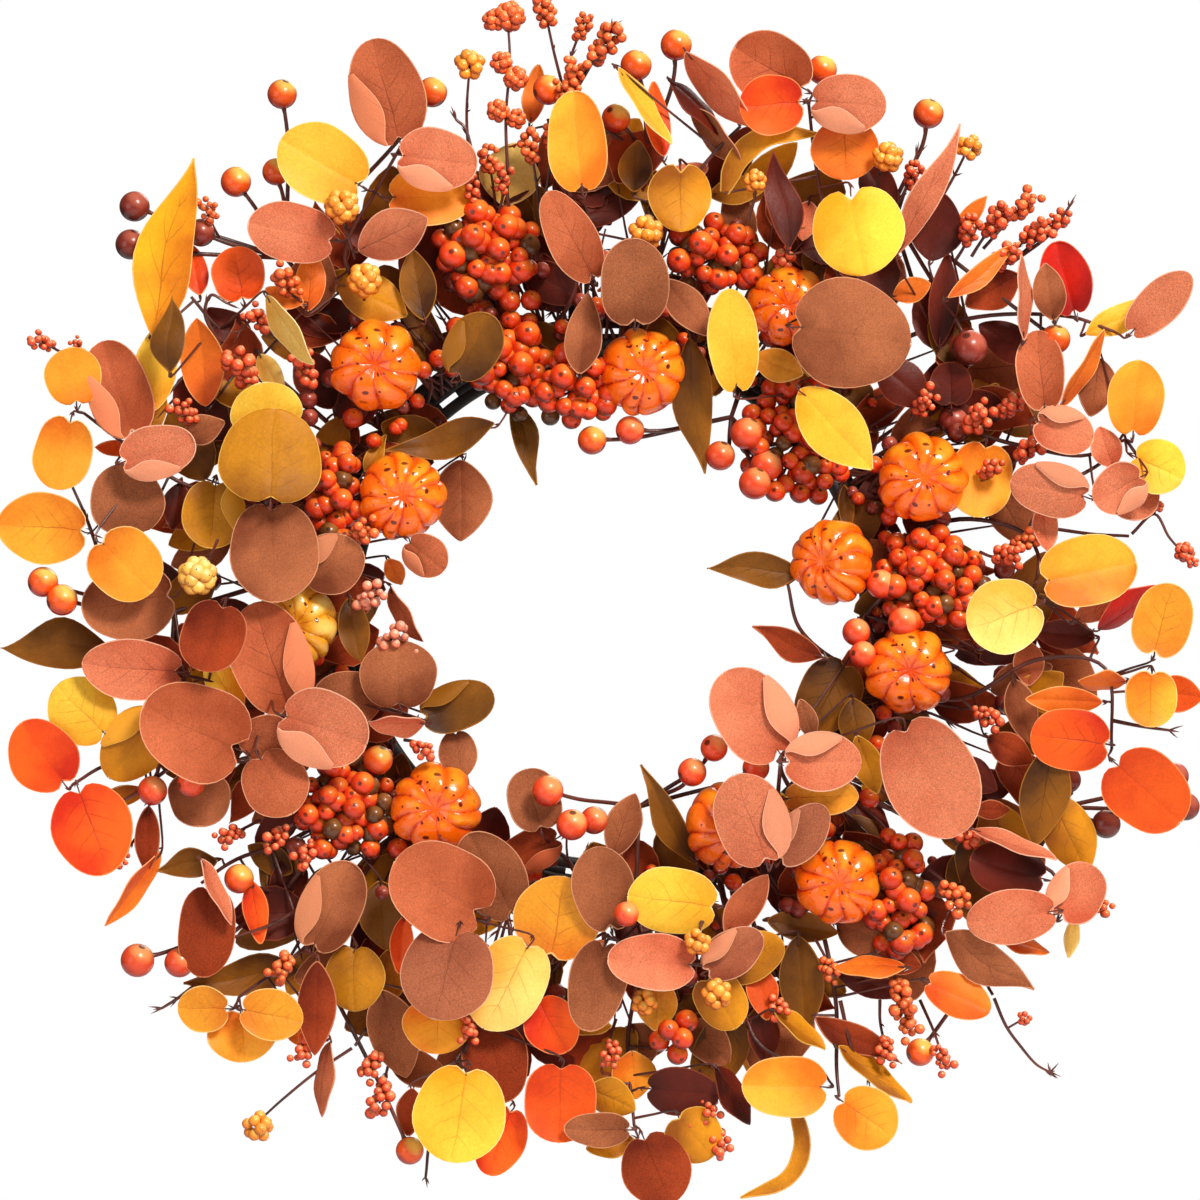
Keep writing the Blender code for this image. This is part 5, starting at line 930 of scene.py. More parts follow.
def add_sheet(piece, front, thickness, facing, material, uv, rim, tone, beneath=(0.0, 1.0)):
    """A thin closed blade: its front grid, a back that lies behind it, and the edge between them.

    facing is roughly the way that its front looks, and beneath says how far its front and its back are the
    leaf's underside.
    """
    rows, columns, _ = front.shape
    normals = np.cross(np.gradient(front, axis=0), np.gradient(front, axis=1))
    normals /= np.maximum(np.linalg.norm(normals, axis=2, keepdims=True), 1e-15)
    if (normals @ facing).mean() < 0:
        normals = -normals
    chord = front[rows // 2, -1] - front[rows // 2, 0]
    lean = np.cross(chord, front[-1, columns // 2] - front[0, columns // 2])
    faces = grid_faces(rows, columns)
    if lean @ facing >= 0:
        faces = faces[:, ::-1]
    back = front - normals * thickness * MM
    flat = front.reshape(-1, 3)
    flat_back = back.reshape(-1, 3)
    flat_uv = uv.reshape(-1, 2)
    piece.add(flat, faces[:, ::-1], material, flat_uv, tone=tone, beneath=beneath[0], rim=rim)
    piece.add(flat_back, faces, material, flat_uv, tone=tone, beneath=beneath[1], rim=rim)
    index = np.arange(rows * columns).reshape(rows, columns)
    loop = np.concatenate([index[0], index[1:, -1], index[-1, -2::-1], index[-2:0:-1, 0]])
    n = len(loop)
    strip = np.concatenate([flat[loop], flat_back[loop]])
    k = np.arange(n)
    sides = np.stack([k, (k + 1) % n, (k + 1) % n + n, k + n], -1)
    out = strip[sides[:, 0]] - flat.mean(0)
    ahead = strip[sides[:, 1]] - strip[sides[:, 0]]
    if (np.cross(ahead, strip[sides[:, 3]] - strip[sides[:, 0]]) * out).sum() < 0:
        sides = sides[:, ::-1]
    piece.add(strip, sides, material, np.tile(flat_uv[loop], (2, 1)), tone=tone, rim=0.0)


def add_leaf(piece, leaf, rows=ALONG, columns=ACROSS):
    """A leaf with its own cup, bend and ripple; a folded one has a lobe turned over on to it."""
    outline, x, z, heading, length, width, depth, colour = leaf
    middle, along, across, front, length, width = leaf_frame(x, z, heading, length, width, depth, outline)
    seed = wander(x, z)
    half = width / 2
    s, t = np.meshgrid(rows, columns, indexing="ij")
    wide = np.maximum(outline_width(outline, s), 0.02) * half
    forward = (s - 0.5) * length
    if outline in ("round", "heart", "folded"):
        notch = 0.13 if outline == "heart" else 0.08
        forward = forward + notch * length * np.exp(-((t * wide / half / 0.17) ** 2) - (s / 0.2) ** 2)
    sideways = t * wide * (1 + 0.035 * np.sin(7 * s + 20 * seed) * np.abs(t))
    sideways = sideways + 0.035 * wander(z, 3, x) * t * t * wide
    if outline == "lance":
        sideways = sideways + 0.10 * width * np.sin(5.0 * s + 12 * seed) * np.sin(math.pi * s)
    cup = (0.10 + 0.10 * wander(z, x)) * (1 if seed > 0.3 else -1)
    bend = (wander(x + 3, z) - 0.5) * 0.18
    lift = cup * (t * t - 0.35) * wide * 0.9 + bend * length * ((2 * s - 1) ** 2 - 0.4)
    lift += 0.7 * np.sin(11 * s + 30 * seed) * np.abs(t) ** 3 - 0.5 * np.exp(-((t * wide) / 1.1) ** 2)
    if outline in ("lance", "point"):
        lift += 0.05 * length * np.sin(4.2 * s + 9 * seed)
    grid = middle + (
        forward[..., None] * along + sideways[..., None] * across + lift[..., None] * front
    ) * MM
    rim = np.minimum((1 - np.abs(t)) * wide, np.minimum(s, 1 - s) * length * 1.1)
    uv = np.stack([(t + 1) / 2, s], -1)
    tone = wander(z, x + 1)
    material = "leaf_" + colour
    add_sheet(piece, grid, BLADE_THICKNESS, front, material, uv, rim, tone)
    if outline == "folded":
        add_lobe(piece, middle, (along, across, front), length, half, lift[:, 0], rows, material, tone, seed)


def add_lobe(piece, middle, ways, length, half, edge_lift, rows, material, tone, seed):
    """The lobe beside a folded leaf's base, turned over on to the blade so that its paler underside shows."""
    along, across, front = ways
    side = 1 if seed > 0.5 else -1
    s, u = np.meshgrid(np.linspace(0.03, 0.74, 13), np.linspace(0, 1, 9), indexing="ij")
    wide = outline_width("folded", s) * half
    reach = np.sin(np.clip(s / 0.78, 0, 1) * math.pi) ** 0.7
    inward = 1 - u * reach * (0.98 - 0.5 * s)
    base_lift = np.interp(s[:, 0], rows, edge_lift)[:, None] * inward ** 2
    rise = (0.6 + 3.2 * np.sin(u * 2.2) * reach) + base_lift
    forward = (s - 0.5) * length
    sideways = side * wide * inward
    grid = middle + (
        forward[..., None] * along + sideways[..., None] * across + rise[..., None] * front
    ) * MM
    rim = np.where(u > 0.99, 0.0, (1 - u) * wide * reach)
    uv = np.stack([0.5 + 0.5 * side * inward, s], -1)
    add_sheet(piece, grid, LOBE_THICKNESS, front, material, uv, rim, tone, beneath=(1.0, 0.0))


def add_curled(piece, points, width, colour):
    """A long lance that curls through its points."""
    path = smooth_path([place(*p) for p in points], 6)
    n = len(path)
    ways = np.gradient(path, axis=0)
    t = np.linspace(-1, 1, 9)
    shares = np.linspace(0, 1, n)
    half = np.interp(shares, [0, 0.15, 0.45, 0.8, 1], [0.35, 0.8, 1, 0.75, 0.03]) * width / 2
    grid, rim = [], []
    for spot, way, w in zip(path, ways, half):
        side = unit(np.cross(way, (0, -1, 0)))
        dip = (1.2 * t * t - 0.5)[:, None] * np.array([0, -1, 0]) * MM
        grid.append(spot + t[:, None] * side * w * MM + dip)
        rim.append((1 - np.abs(t)) * w)
    uv = np.stack(np.meshgrid(shares, (t + 1) / 2, indexing="ij")[::-1], -1)
    facing = np.array([0.0, -1.0, 0.0])
    add_sheet(piece, np.array(grid), BLADE_THICKNESS, facing, "leaf_" + colour, uv, np.array(rim), 0.6)


def nearest_on(path, spot):
    """The point of a path that is nearest to a spot."""
    best = None
    for a, b in zip(path, path[1:]):
        d = b - a
        share = min(1.0, max(0.0, (spot - a).dot(d) / max(d.dot(d), 1e-12)))
        near = a + d * share
        if best is None or np.linalg.norm(near - spot) < np.linalg.norm(best - spot):
            best = near
    return best


def add_prongs(piece, spot, way, size, seed):
    """Small spiky scales where a leaf or twig leaves its stem."""
    for k in range(3):
        spread = np.array([wander(seed, k), wander(k, seed), wander(seed + k, 5)]) - 0.5
        tip = spot + unit(unit(way) + spread * 1.5) * size * MM * (0.7 + 0.6 * wander(seed, k + 9))
        add_tube(piece, [spot, (spot + tip) / 2 + spread * 0.4 * MM, tip], [0.55, 0.45, 0.08], sides=5)


def ring_point(x, z, depth=RING_THICKNESS + 1.8):
    """The point on the ring's middle circle in the direction of x, z."""
    middle_radius = RING_INNER_RADIUS + RING_OUTER_RADIUS
    away = unit(np.array([x - RING_CENTRE_X, z - RING_CENTRE_Z])) * middle_radius / 2
    return place(away[0] + RING_CENTRE_X, away[1] + RING_CENTRE_Z, depth)


def add_petiole(piece, leaf, stem):
    """A leaf's own stalk, from inside its base to the nearest point of the stem."""
    outline, x, z, heading, length, width, depth, _ = leaf
    middle, along, _, front, length, _ = leaf_frame(x, z, heading, length, width, depth, outline)
    inside = middle - along * length * 0.40 * MM - front * 0.3 * MM
    base = middle - along * (length * 0.5 + 2.5) * MM - front * 1.2 * MM
    root = nearest_on(stem, base)
    between = (base * 0.5 + root * 0.5) - front * 0.4 * MM
    add_tube(piece, smooth_path([inside, base, between, root], 4), [0.35, 0.6, 0.75], sides=6)
    add_prongs(piece, base, along, 3.4, x * 0.7 + z)


def make_bunch(name):
    """A branching stem wired to the ring, with its leaves on their stalks."""
    slot, (root, *rest), leaves = BUNCHES[name]
    piece = Piece()
    stem = smooth_path([ring_point(*root), *[place(*p) for p in rest]], 7)
    add_tube(piece, stem, [1.4, 1.1, 0.8], sides=10)
    if name in CARRYING_TWIGS:
        start, *rest = CARRYING_TWIGS[name]
        twig = [nearest_on(stem, place(*start)), *[place(*p) for p in rest]]
        add_tube(piece, smooth_path(twig, 6), [1.2, 0.8])
    for leaf in leaves:
        add_leaf(piece, leaf)
        add_petiole(piece, leaf, stem)
    if name in CURLED:
        points, width, colour = CURLED[name]
        add_curled(piece, points, width, colour)
        first = place(*points[0])
        root = nearest_on(stem, first)
        add_tube(piece, [first, (first + root) / 2, root], [0.6, 0.8])
    return piece.finish(name + "_leaves", "frame", name)


# Berries and seeds, set out by Geometry Nodes.


def make_berry_tree():
    """Sets a berry on each point, at the point's size, with its end towards the point's aim."""
    tree = bpy.data.node_groups.new("berries on points", "GeometryNodeTree")
    for name, kind in (
        ("Points", "NodeSocketGeometry"), ("Roundness", "NodeSocketInt"),
        ("Skin", "NodeSocketMaterial"), ("Light From", "NodeSocketVector"),
    ):
        tree.interface.new_socket(name=name, in_out="INPUT", socket_type=kind)
    tree.interface.new_socket(name="Berries", in_out="OUTPUT", socket_type="NodeSocketGeometry")
    t = Tree(tree)
    start = t.add("NodeGroupInput", out=None)
    end = t.add("NodeGroupOutput", out=None)

    def store(geometry, name, value):
        return t.add(
            "GeometryNodeStoreNamedAttribute", {"Geometry": geometry, "Name": name, "Value": value},
            data_type="FLOAT", domain="POINT",
        )

    ball = t.add("GeometryNodeMeshIcoSphere", {"Radius": 1.0, "Subdivisions": start.outputs["Roundness"]})
    position = t.add("GeometryNodeInputPosition")
    ball = store(ball, "pole", t.add("ShaderNodeSeparateXYZ", {0: position}, out=2))
    size = t.add("GeometryNodeInputNamedAttribute", {"Name": "size"}, data_type="FLOAT")
    aim = t.add("GeometryNodeInputNamedAttribute", {"Name": "aim"}, data_type="FLOAT_VECTOR")
    turn = t.add("FunctionNodeAlignRotationToVector", {"Vector": aim}, axis="Z")
    spread = t.add(
        "GeometryNodeInstanceOnPoints",
        {"Points": start.outputs["Points"], "Instance": ball, "Rotation": turn, "Scale": size},
    )
    real = t.add("GeometryNodeRealizeInstances", {0: spread})
    # Painted light: glow is how far each point of a berry faces the light, and the berry skins are painted
    # paler there.
    normal = t.add("GeometryNodeInputNormal")
    light = start.outputs["Light From"]
    lit = t.add("ShaderNodeVectorMath", {0: normal, 1: light}, out=1, operation="DOT_PRODUCT")
    real = store(real, "glow", lit)
    real = t.add("GeometryNodeSetShadeSmooth", {"Geometry": real})
    real = t.add("GeometryNodeSetMaterial", {"Geometry": real, "Material": start.outputs["Skin"]})
    t.link(real, end, "Berries")
    return tree


berry_tree = make_berry_tree()


def make_berries(name, spots, material, body, node=None, roundness=3):
    """One mesh of berries; spots is a list of (point, radius in millimetres, aim, tone)."""
    mesh = bpy.data.meshes.new(name)
    mesh.from_pydata([tuple(s[0]) for s in spots], [], [])
    for label, kind, width, column in (
        ("size", "FLOAT", "value", 1), ("tone", "FLOAT", "value", 3), ("aim", "FLOAT_VECTOR", "vector", 2),
    ):
        made = mesh.attributes.new(label, kind, "POINT")
        data = np.array([s[column] for s in spots], np.float32)
        if column == 1:
            data *= MM
        made.data.foreach_set(width, data.reshape(-1))
    obj = bpy.data.objects.new(name, mesh)
    bpy.context.scene.collection.objects.link(obj)
    modifier = obj.modifiers.new("berries", "NODES")
    modifier.node_group = berry_tree
    items = berry_tree.interface.items_tree
    sockets = {item.name: item.identifier for item in items if item.in_out == "INPUT"}
    modifier[sockets["Roundness"]] = roundness
    modifier[sockets["Skin"]] = MATERIALS[material]
    modifier[sockets["Light From"]] = GLOW_FROM
    bpy.context.view_layer.update()
    made = bpy.data.meshes.new_from_object(obj.evaluated_get(bpy.context.evaluated_depsgraph_get()))
    bpy.data.objects.remove(obj)
    made.name = name
    return finished(name, made, body, node)


def berry(point, radius, seed, forward=0.8):
    """A berry whose end looks forward, more or less."""
    aim = unit(np.array([wander(seed, 1) - 0.5, -forward, wander(seed, 2) - 0.5]))
    return (point, radius, tuple(aim), wander(seed, 3))


def cluster_spots(x, z, half_width, half_height, depth, count):
    """Points spread over a shallow oval heap, as x, z and depth."""
    spots = []
    for i in range(count):
        reach = math.sqrt((i + 0.4) / count)
        rise = 9.0 * (1 - reach * reach) + 3.0 * math.sin(2.1 * i)
        sideways = half_width * reach * math.cos(GOLDEN_ANGLE * i)
        up = half_height * reach * math.sin(GOLDEN_ANGLE * i)
        spots.append((x + sideways, z + up, depth + rise))
    return spots


def make_cluster(name):
    """A heap of berries: the main ones where the solid has them, and more tucked between and behind them."""
    x, z, half_width, half_height, depth, radius, count = CLUSTERS[name]
    hub = place(x, z, depth - 12)
    spots = cluster_spots(x, z, half_width, half_height, depth, count)
    berries = [berry(place(*s), radius * (0.9 + 0.25 * wander(*s)), s[0] + s[1]) for s in spots]
    extra_count = int(half_width * half_height / 17)
    extra = cluster_spots(x, z, half_width * 1.02, half_height * 1.02, depth - 5, extra_count)
    olive = []
    for s in extra:
        made = berry(place(*s), radius * (0.72 + 0.3 * wander(*s)), s[0] * 1.7 + s[1], 0.5)
        (olive if wander(s[0], s[1], 4) > 0.8 else berries).append(made)
    make_berries(name + "_berries", berries, "berry_red", "frame", name)
    if olive:
        make_berries(name + "_unripe", olive, "berry_olive", "frame", name)
    piece = Piece()
    add_tube(piece, smooth_path([ring_point(x, z), hub]), [1.5, 1.2])
    for s in spots + extra[::2]:
        end = place(*s)
        bow = (hub + end) / 2 + np.array([0, 2.0 * MM, 0])
        add_tube(piece, smooth_path([hub, bow, end], 4), [0.8, 0.6], sides=6)
    piece.finish(name + "_stalks", "frame", name)


def make_pick(name):
    """Big berries, each on a wire that ends in a small cup."""
    root, hub, berries = BERRY_PICKS[name]
    hub = place(*hub)
    skins = {"": [], "_coral": [], "_dark": []}
    piece = Piece()
    add_tube(piece, smooth_path([ring_point(*root), hub]), [1.5, 1.2])
    for x, z, depth, radius in berries:
        end = place(x, z, depth)
        skin = "_dark" if (x, z) in DARK_BERRIES else "_coral" if (x, z) in CORAL_BERRIES else ""
        skins[skin].append(berry(end, radius, x + z, 0.15))
        near = hub + (end - hub) * 0.72 + np.array([2.5, 1.0, -2.0]) * MM
        bow = (hub + near) / 2 + np.array([0, 2.5, 0]) * MM
        add_tube(piece, smooth_path([hub, bow, near, end], 5), [1.2, 1.1, 1.0])
        back = unit(near - end) * MM
        neck = end + unit(near - end) * radius * MM
        add_tube(piece, [neck - back, neck, neck + back * 2.4], [1.5, 1.35, 0.8])
    for skin, made in skins.items():
        if made:
            label = name + skin + "_berries"
            make_berries(label, made, "berry" + (skin or "_big"), "frame", name, 4)
    piece.finish(name + "_wires", "frame", name)


def spike_beads(root, tip, radius, beads, seed):
    """Beads of uneven sizes crowded round the last stretch of a stalk."""
    made = []
    way = unit(tip - root)
    side = unit(np.cross(way, (0.2, 1.0, 0.1)))
    other = np.cross(way, side)
    for i in range(beads + 4):
        back = (i + wander(seed, i)) / (beads + 4)
        turn = NEXT_TURN * i + seed
        out = (0.35 + 0.5 * wander(i, seed)) * radius * (1 - 0.45 * back)
        round_it = side * math.cos(turn) + other * math.sin(turn)
        spot = tip - way * back * radius * 2.3 * MM + round_it * out * MM
        aim = unit(spot - tip + way * 0.0004 + np.array([0, -0.001, 0]))
        made.append((spot, radius * (0.24 + 0.16 * wander(seed, i, 2)), tuple(aim), wander(i, seed)))
    return made


def head_beads(x, z, depth, radius, beads, seed):
    """Beads packed over the front of a small round head."""
    made = []
    centre = place(x, z, depth)
    for i in range(beads):
        up = 1 - 1.5 * (i + 0.5) / beads
        flat = math.sqrt(max(0.0, 1 - up * up))
        turn = GOLDEN_ANGLE * i + seed
        way = np.array([flat * math.cos(turn), -up, flat * math.sin(turn)])
        size = radius * (0.36 + 0.08 * wander(seed, i))
        made.append((centre + way * (radius - size * 0.9) * MM, size, tuple(unit(way)), wander(i, seed)))
    return made


def make_seed_heads():
    """The fixed foliage's seed heads, spikes or round ones by their colour, and the bare twigs."""
    by_colour = {}
    piece = Piece()
    for x, z, depth, radius, beads, colour, root_x, root_z in SEED_HEADS:
        root, tip = place(root_x, root_z, depth - 14), place(x, z, depth - 1)
        if colour in ("seed_red", "seed_orange", "seed_pink"):
            made = spike_beads(root, tip + unit(tip - root) * radius * 0.8 * MM, radius, beads, x + z)
        else:
            made = head_beads(x, z, depth, radius, beads, x + z)
        by_colour.setdefault(colour, []).extend(made)
        bow = (root + tip) / 2 + np.array([1.5 * math.sin(x), 2.0, 1.5 * math.cos(z)]) * MM
        add_tube(piece, smooth_path([root, bow, tip], 5), [0.9, 0.6], sides=6)
        add_prongs(piece, bow, tip - root, 4.0, x)
    for points in TWIGS:
        path = smooth_path([place(*p) for p in points], 6)
        add_tube(piece, path, [1.1, 0.7], sides=7)
        add_prongs(piece, path[-1], path[-1] - path[-2], 6.0, points[0][0])
        add_prongs(piece, path[len(path) // 2], path[-1] - path[0], 5.0, points[0][1])
    for colour, beads in by_colour.items():
        make_berries("seed_heads_" + colour[5:], beads, colour, "frame", None, 2)
    piece.finish("seed_stalks", "frame", None)


def make_bending_pick(name):
    """A seed pick that bends by hand: its beads and its twig, on a body of their own."""
    colour, points, heads = SEED_PICKS[name]
    body = name.replace("seed_", "")
    path = smooth_path([place(*p) for p in points], 6)
    piece = Piece()
    add_tube(piece, path, [0.9, 0.6], sides=7)
    beads = []
    for x, z, depth, radius, count in heads:
        beads += head_beads(x, z, depth, radius, count, x + z)
        tip = place(x, z, depth)
        root = nearest_on(path, tip)
        if np.linalg.norm(tip - root) > MM:
            add_tube(piece, [root, (root + tip) / 2, tip], [0.6, 0.5], sides=6)
    add_prongs(piece, path[-1], path[-1] - path[-3], 5.0, points[0][0])
    if name == "seed_twig_low_right":
        add_prongs(piece, path[-3], path[-1] - path[-3], 7.0, 3)
        add_prongs(piece, path[-1], np.array([0.3, 0, 1.0]), 6.0, 8)
    make_berries(name + "_beads", beads, colour, body, name, 2)
    piece.finish(name + "_twig", body, name)


# Pumpkins.


def make_pumpkin(number):
    """A lobed foam pumpkin, its crown to the front, on a wire from the ring."""
    x, z, diameter, depth, turn, slot = PUMPKINS[number]
    lobes = 9 + number % 3
    around, down = 20 * lobes, 56
    angle = np.linspace(0, 2 * np.pi, around, endpoint=False)[None, :]
    polar = np.linspace(0.0, np.pi, down)[:, None]
    seed = wander(x, z) * 6
    swing = angle + 0.13 * np.sin(2 * angle + seed) + 0.05 * np.sin(5 * angle + 2 * seed)
    swing = swing + 0.10 * np.sin(3 * polar + seed) * np.ones_like(angle)
    wave = np.abs(np.sin(lobes * swing / 2 + seed))
    crest = wave ** 0.42
    out = np.sin(polar)
    groove = 0.12 * (1 - crest) * np.clip(out * 1.4, 0, 1)
    lumps = 1 + 0.025 * np.sin(3 * angle + 2 * polar + seed) + 0.02 * np.sin(7 * angle - 3 * polar)
    flat = out ** 0.92 * (1 - groove) * lumps
    dimple = 0.24 * np.exp(-((out / 0.3) ** 2))
    high = np.sign(np.cos(polar)) * np.abs(np.cos(polar)) ** 0.9 * (1 - dimple) * (1 - 0.6 * groove)
    radius = diameter / 2 * MM
    a = math.radians(turn)
    px = flat * np.cos(angle) * radius
    pz = flat * np.sin(angle) * radius
    py = -high * diameter * 0.36 * MM * np.ones_like(angle)
    points = np.stack([px * math.cos(a) - py * math.sin(a), px * math.sin(a) + py * math.cos(a), pz], -1)
    points[0] = points[0].mean(0) * 0.99 + points[1] * 0.01
    points[-1] = points[-1].mean(0) * 0.99 + points[-2] * 0.01
    points = points.reshape(-1, 3) + place(x, z, depth)
    uv = np.stack(np.broadcast_arrays(angle / (2 * np.pi), polar / np.pi), -1).reshape(-1, 2)
    piece = Piece()
    # Painted light and shade: paler on the lobe crests and towards the upper right, darker in the grooves and
    # near the crown and the back.
    value = crest * np.clip(out * 3.0, 0.55, 1)
    value = value + 0.28 * out * (0.5 * np.cos(angle - a) + 0.85 * np.sin(angle))
    piece.add(points, grid_faces(down, around, wrap=True), slot, uv, crest=value.reshape(-1))
    add_tube(piece, smooth_path([place(x, z, depth - 8), ring_point(x, z, RING_THICKNESS + 1.5)]), [0.9, 0.9])
    name = f"pumpkin_{number + 1:02}"
    piece.finish(name + "_foam", "frame", name)


# Ring and hanger.


def add_arc(piece, low, high, back, face, begin, end, segments, edge=0.7):
    """A bar of the ring between two radii and two angles, with its edges rounded; a full turn closes."""
    profile = [
        (low, back + edge), (low + edge, back), (high - edge, back), (high, back + edge),
        (high, face - edge), (high - edge, face), (low + edge, face), (low, face - edge),
    ]
    whole = end - begin > 2 * math.pi - 1e-6
    rows = []
    for a in np.linspace(begin, end, segments, endpoint=not whole):
        rows.append([
            place(RING_CENTRE_X + r * math.cos(a), RING_CENTRE_Z + r * math.sin(a), d) for r, d in profile
        ])
    if whole:
        rows.append(rows[0])
    else:
        rows = [[np.mean(rows[0], 0)] * 8, *rows, [np.mean(rows[-1], 0)] * 8]
    piece.add(np.array(rows).reshape(-1, 3), grid_faces(len(rows), 8, wrap=True), "ring_plastic")


def add_ear(piece, middle):
    """A lug on the ring's top edge that holds one end of the hanger; middle is its x, in metres."""
    edge = 0.8
    levels = []
    for depth, inset in ((0.0, edge), (edge, 0.0), (RING_THICKNESS - edge, 0.0), (RING_THICKNESS, edge)):
        half = (EAR_WIDTH / 2 - inset) * MM
        top = ring_high.z - inset * MM
        foot = ring_high.z - EAR_HEIGHT * MM
        corners = ((-half, top), (half, top), (half, foot), (-half, foot))
        levels.append([np.array([middle + x, -depth * MM, z]) for x, z in corners])
    rows = [[np.mean(levels[0], 0)] * 4, *levels, [np.mean(levels[-1], 0)] * 4]
    piece.add(np.array(rows).reshape(-1, 3), grid_faces(len(rows), 4, wrap=True)[:, ::-1], "ring_plastic")


def make_ring():
    """Three flat hoops, joined by short bars that leave two rows of slots, with two ears for the hanger."""
    piece = Piece()
    rail = (RING_OUTER_RADIUS - RING_INNER_RADIUS) / 3
    gaps = [RING_INNER_RADIUS + rail, RING_INNER_RADIUS + 2 * rail]
    half = SLOT_WIDTH / 2
    lows = [RING_INNER_RADIUS, gaps[0] + half, gaps[1] + half]
    highs = [gaps[0] - half, gaps[1] - half, RING_OUTER_RADIUS]
    for low, high in zip(lows, highs):
        add_arc(piece, low, high, 0.0, RING_THICKNESS, 0.0, 2 * math.pi, 160)
    for row, radius in enumerate(gaps):
        for number in range(SLOTS_PER_ROW):
            middle = 2 * math.pi * (number + 0.5 * row + 1.0) / SLOTS_PER_ROW
            reach = math.pi / SLOTS_PER_ROW - SLOT_LENGTH / 2 / radius
            low, high = radius - half - 0.6, radius + half + 0.6
            add_arc(piece, low, high, 0.3, RING_THICKNESS - 0.3, middle - reach, middle + reach, 18, edge=0.3)
    away = BAIL_HALF_WIDTH + 1.0 + EAR_WIDTH / 2 + BAIL_WIRE_RADIUS
    for side in (-1, 1):
        add_ear(piece, (bail_low.x + bail_high.x) / 2 + side * away * MM)
    piece.finish("slotted_ring", "frame", "base_ring")


def make_hanger():
    """A wire bail: two ends in the ears, two upright legs and a round top."""
    middle = (bail_low + bail_high) / 2
    reach = (bail_high.x - bail_low.x) / 2 / MM
    foot = bail_low.z + BAIL_WIRE_RADIUS * MM
    height = (bail_high.z - bail_low.z) / MM - 2 * BAIL_WIRE_RADIUS
    bend = BAIL_HALF_WIDTH
    path = [(-reach, 0), (-bend - 1.6, 0), (-bend - 0.4, 0.4), (-bend, 1.6), (-bend, height - bend)]
    for a in np.linspace(0, math.pi, 25)[1:-1]:
        path.append((-bend * math.cos(a), height - bend + bend * math.sin(a)))
    path += [(bend, height - bend), (bend, 1.6), (bend + 0.4, 0.4), (bend + 1.6, 0), (reach, 0)]
    path = [np.array([middle.x + x * MM, middle.y, foot + z * MM]) for x, z in path]
    piece = Piece()
    add_tube(piece, path, [BAIL_WIRE_RADIUS, BAIL_WIRE_RADIUS], "hanger_wire", sides=14)
    piece.finish("hanger_wire_bail", "hanger", "hanger_bail")


# Dense small foliage close to the ring, behind the bunches.


def make_undergrowth():
    """Small leaves and berries, spread evenly round the ring; two leaves in five lie close to it."""
    shades = ["maroon", "olive", "rust", "maroon", "brown", "mustard", "rust", "olive"]
    rows = ALONG[::2]
    columns = ACROSS[::2]
    for part in range(UNDERGROWTH_PARTS):
        piece = Piece()
        for i in range(part, UNDERGROWTH_LEAVES, UNDERGROWTH_PARTS):
            turn = i * NEXT_TURN
            close = i % 5 < 2
            radius = 128 + 40 * wander(i, 7.7) if close else 148 + 88 * math.sqrt(wander(i, 1.7))
            x = RING_CENTRE_X + radius * math.cos(turn)
            z = RING_CENTRE_Z + radius * math.sin(turn)
            heading = math.degrees(turn) + (60 if close else 0) + 110 * (wander(i, 4.1) - 0.5)
            length = (22 if close else 28) + 18 * wander(i, 8.3)
            width = length * (0.42 + 0.3 * wander(i, 2.9))
            depth = (11 if close else 15) + (14 if close else 22) * wander(i, 6.2)
            outline = ("oval", "oval", "lance", "round")[i % 4]
            add_leaf(piece, (outline, x, z, heading, length, width, depth, shades[i % 8]), rows, columns)
            lean = math.radians(heading)
            base = place(x, z, depth) - np.array([math.cos(lean), 0, math.sin(lean)]) * length * 0.48 * MM
            root = ring_point(x, z, RING_THICKNESS + 2)
            bow = np.array([9 * math.sin(i * 1.3), -3, 9 * math.cos(i * 1.3)]) * MM
            first, second = root * 0.6 + base * 0.4 + bow, root * 0.25 + base * 0.75 + bow * 0.4
            path = smooth_path([root, first, second, base], 4)
            add_tube(piece, path, [1.0, 0.45], sides=6)
            add_prongs(piece, path[6], path[7] - path[5], 6.0, i)
        piece.finish(f"undergrowth_{part + 1}", "frame", None)
    berries = []
    for i in range(UNDERGROWTH_BERRIES):
        turn = i * NEXT_TURN + 0.7
        radius = 130 + (42 if i % 2 else 90) * wander(i, 9.4)
        x = RING_CENTRE_X + radius * math.cos(turn)
        z = RING_CENTRE_Z + radius * math.sin(turn)
        spot = place(x, z, 22 + 16 * wander(i, 3.3))
        berries.append(berry(spot, 2.6 + 3.2 * wander(i, 5.5), i, 0.4))
    make_berries("undergrowth_berries", berries[::2], "berry_dark", "frame", None, 2)
    make_berries("undergrowth_red_berries", berries[1::2], "berry_red", "frame", None, 2)


# Stage.


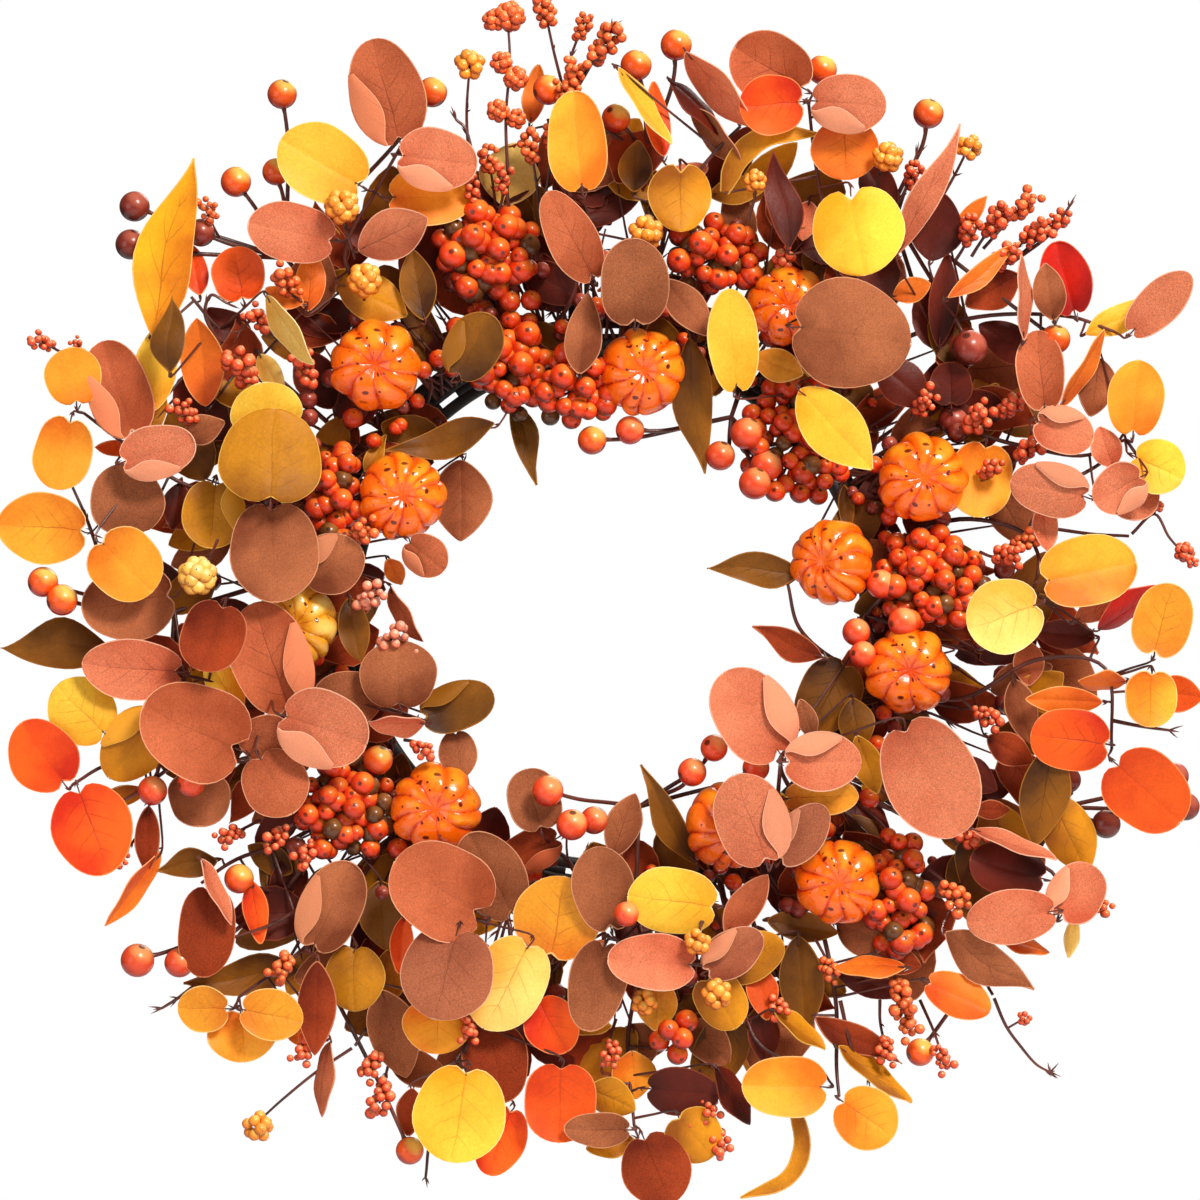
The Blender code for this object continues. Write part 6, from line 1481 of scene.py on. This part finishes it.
def make_world():
    """A pale studio: even light on the wreath, less of it in reflections, and white behind."""
    world = bpy.data.worlds.new("studio")
    bpy.context.scene.world = world
    world.use_nodes = True
    t = Tree(world.node_tree)
    even = world.node_tree.nodes["Background"]
    even.inputs["Strength"].default_value = WORLD_LIGHT
    even.inputs["Color"].default_value = (1, 1, 1, 1)
    mirrored = t.add("ShaderNodeBackground", {"Color": (1, 0.9, 0.8, 1), "Strength": MIRRORED_LIGHT})
    seen = t.add("ShaderNodeBackground", {"Color": (1, 1, 1, 1), "Strength": 1.0})
    path = t.add("ShaderNodeLightPath", out=None)
    mixed = t.add("ShaderNodeMixShader", {0: path.outputs["Is Glossy Ray"], 1: even.outputs[0], 2: mirrored})
    mixed = t.add("ShaderNodeMixShader", {0: path.outputs["Is Camera Ray"], 1: mixed, 2: seen})
    t.link(mixed, world.node_tree.nodes["World Output"], "Surface")


def make_stage():
    """The floor, the world, three lamps and the camera, square on to the wreath's middle."""
    below = (0, 0, cad_low.z - 0.25)
    bpy.ops.mesh.primitive_circle_add(vertices=96, radius=1.6, fill_type="NGON", location=below)
    floor = bpy.context.object
    floor.name = "floor"
    made, _, shader = new_material("pale_floor", Roughness=0.9)
    shader.inputs["Base Color"].default_value = (0.9, 0.9, 0.9, 1)
    floor.data.materials.append(made)
    make_world()
    middle = Vector((float(CENTRE[0]), 0, float(CENTRE[2])))
    for name, spot, size, power in (
        ("key", (1.2, -2.2, 1.9), 0.8, KEY_LIGHT),
        ("fill", (-2.0, -2.0, 0.2), 1.6, FILL_LIGHT),
        ("back", (0.6, 1.9, 1.4), 1.2, FILL_LIGHT),
    ):
        data = bpy.data.lights.new(name, "AREA")
        data.size = size
        data.energy = power
        data.color = (1.0, 0.95, 0.88)
        lamp = bpy.data.objects.new(name, data)
        lamp.location = middle + Vector(spot)
        lamp.rotation_euler = (-Vector(spot)).to_track_quat("-Z", "Y").to_euler()
        bpy.context.scene.collection.objects.link(lamp)
    data = bpy.data.cameras.new("camera")
    camera = bpy.data.objects.new("camera", data)
    leaves_depth = 0.045
    data.lens = data.sensor_width * (CAMERA_DISTANCE - leaves_depth) / VIEW_WIDTH
    camera.location = (middle.x, -CAMERA_DISTANCE, middle.z)
    camera.rotation_euler = (math.radians(90), 0, 0)
    data.clip_start = 0.05
    bpy.context.scene.collection.objects.link(camera)
    bpy.context.scene.camera = camera


make_stage()
make_ring()
make_hanger()
for bunch_name in BUNCHES:
    make_bunch(bunch_name)
for pumpkin_number in range(len(PUMPKINS)):
    make_pumpkin(pumpkin_number)
for cluster_name in CLUSTERS:
    make_cluster(cluster_name)
for pick_name in BERRY_PICKS:
    make_pick(pick_name)
for seed_name in SEED_PICKS:
    make_bending_pick(seed_name)
make_seed_heads()
make_undergrowth()
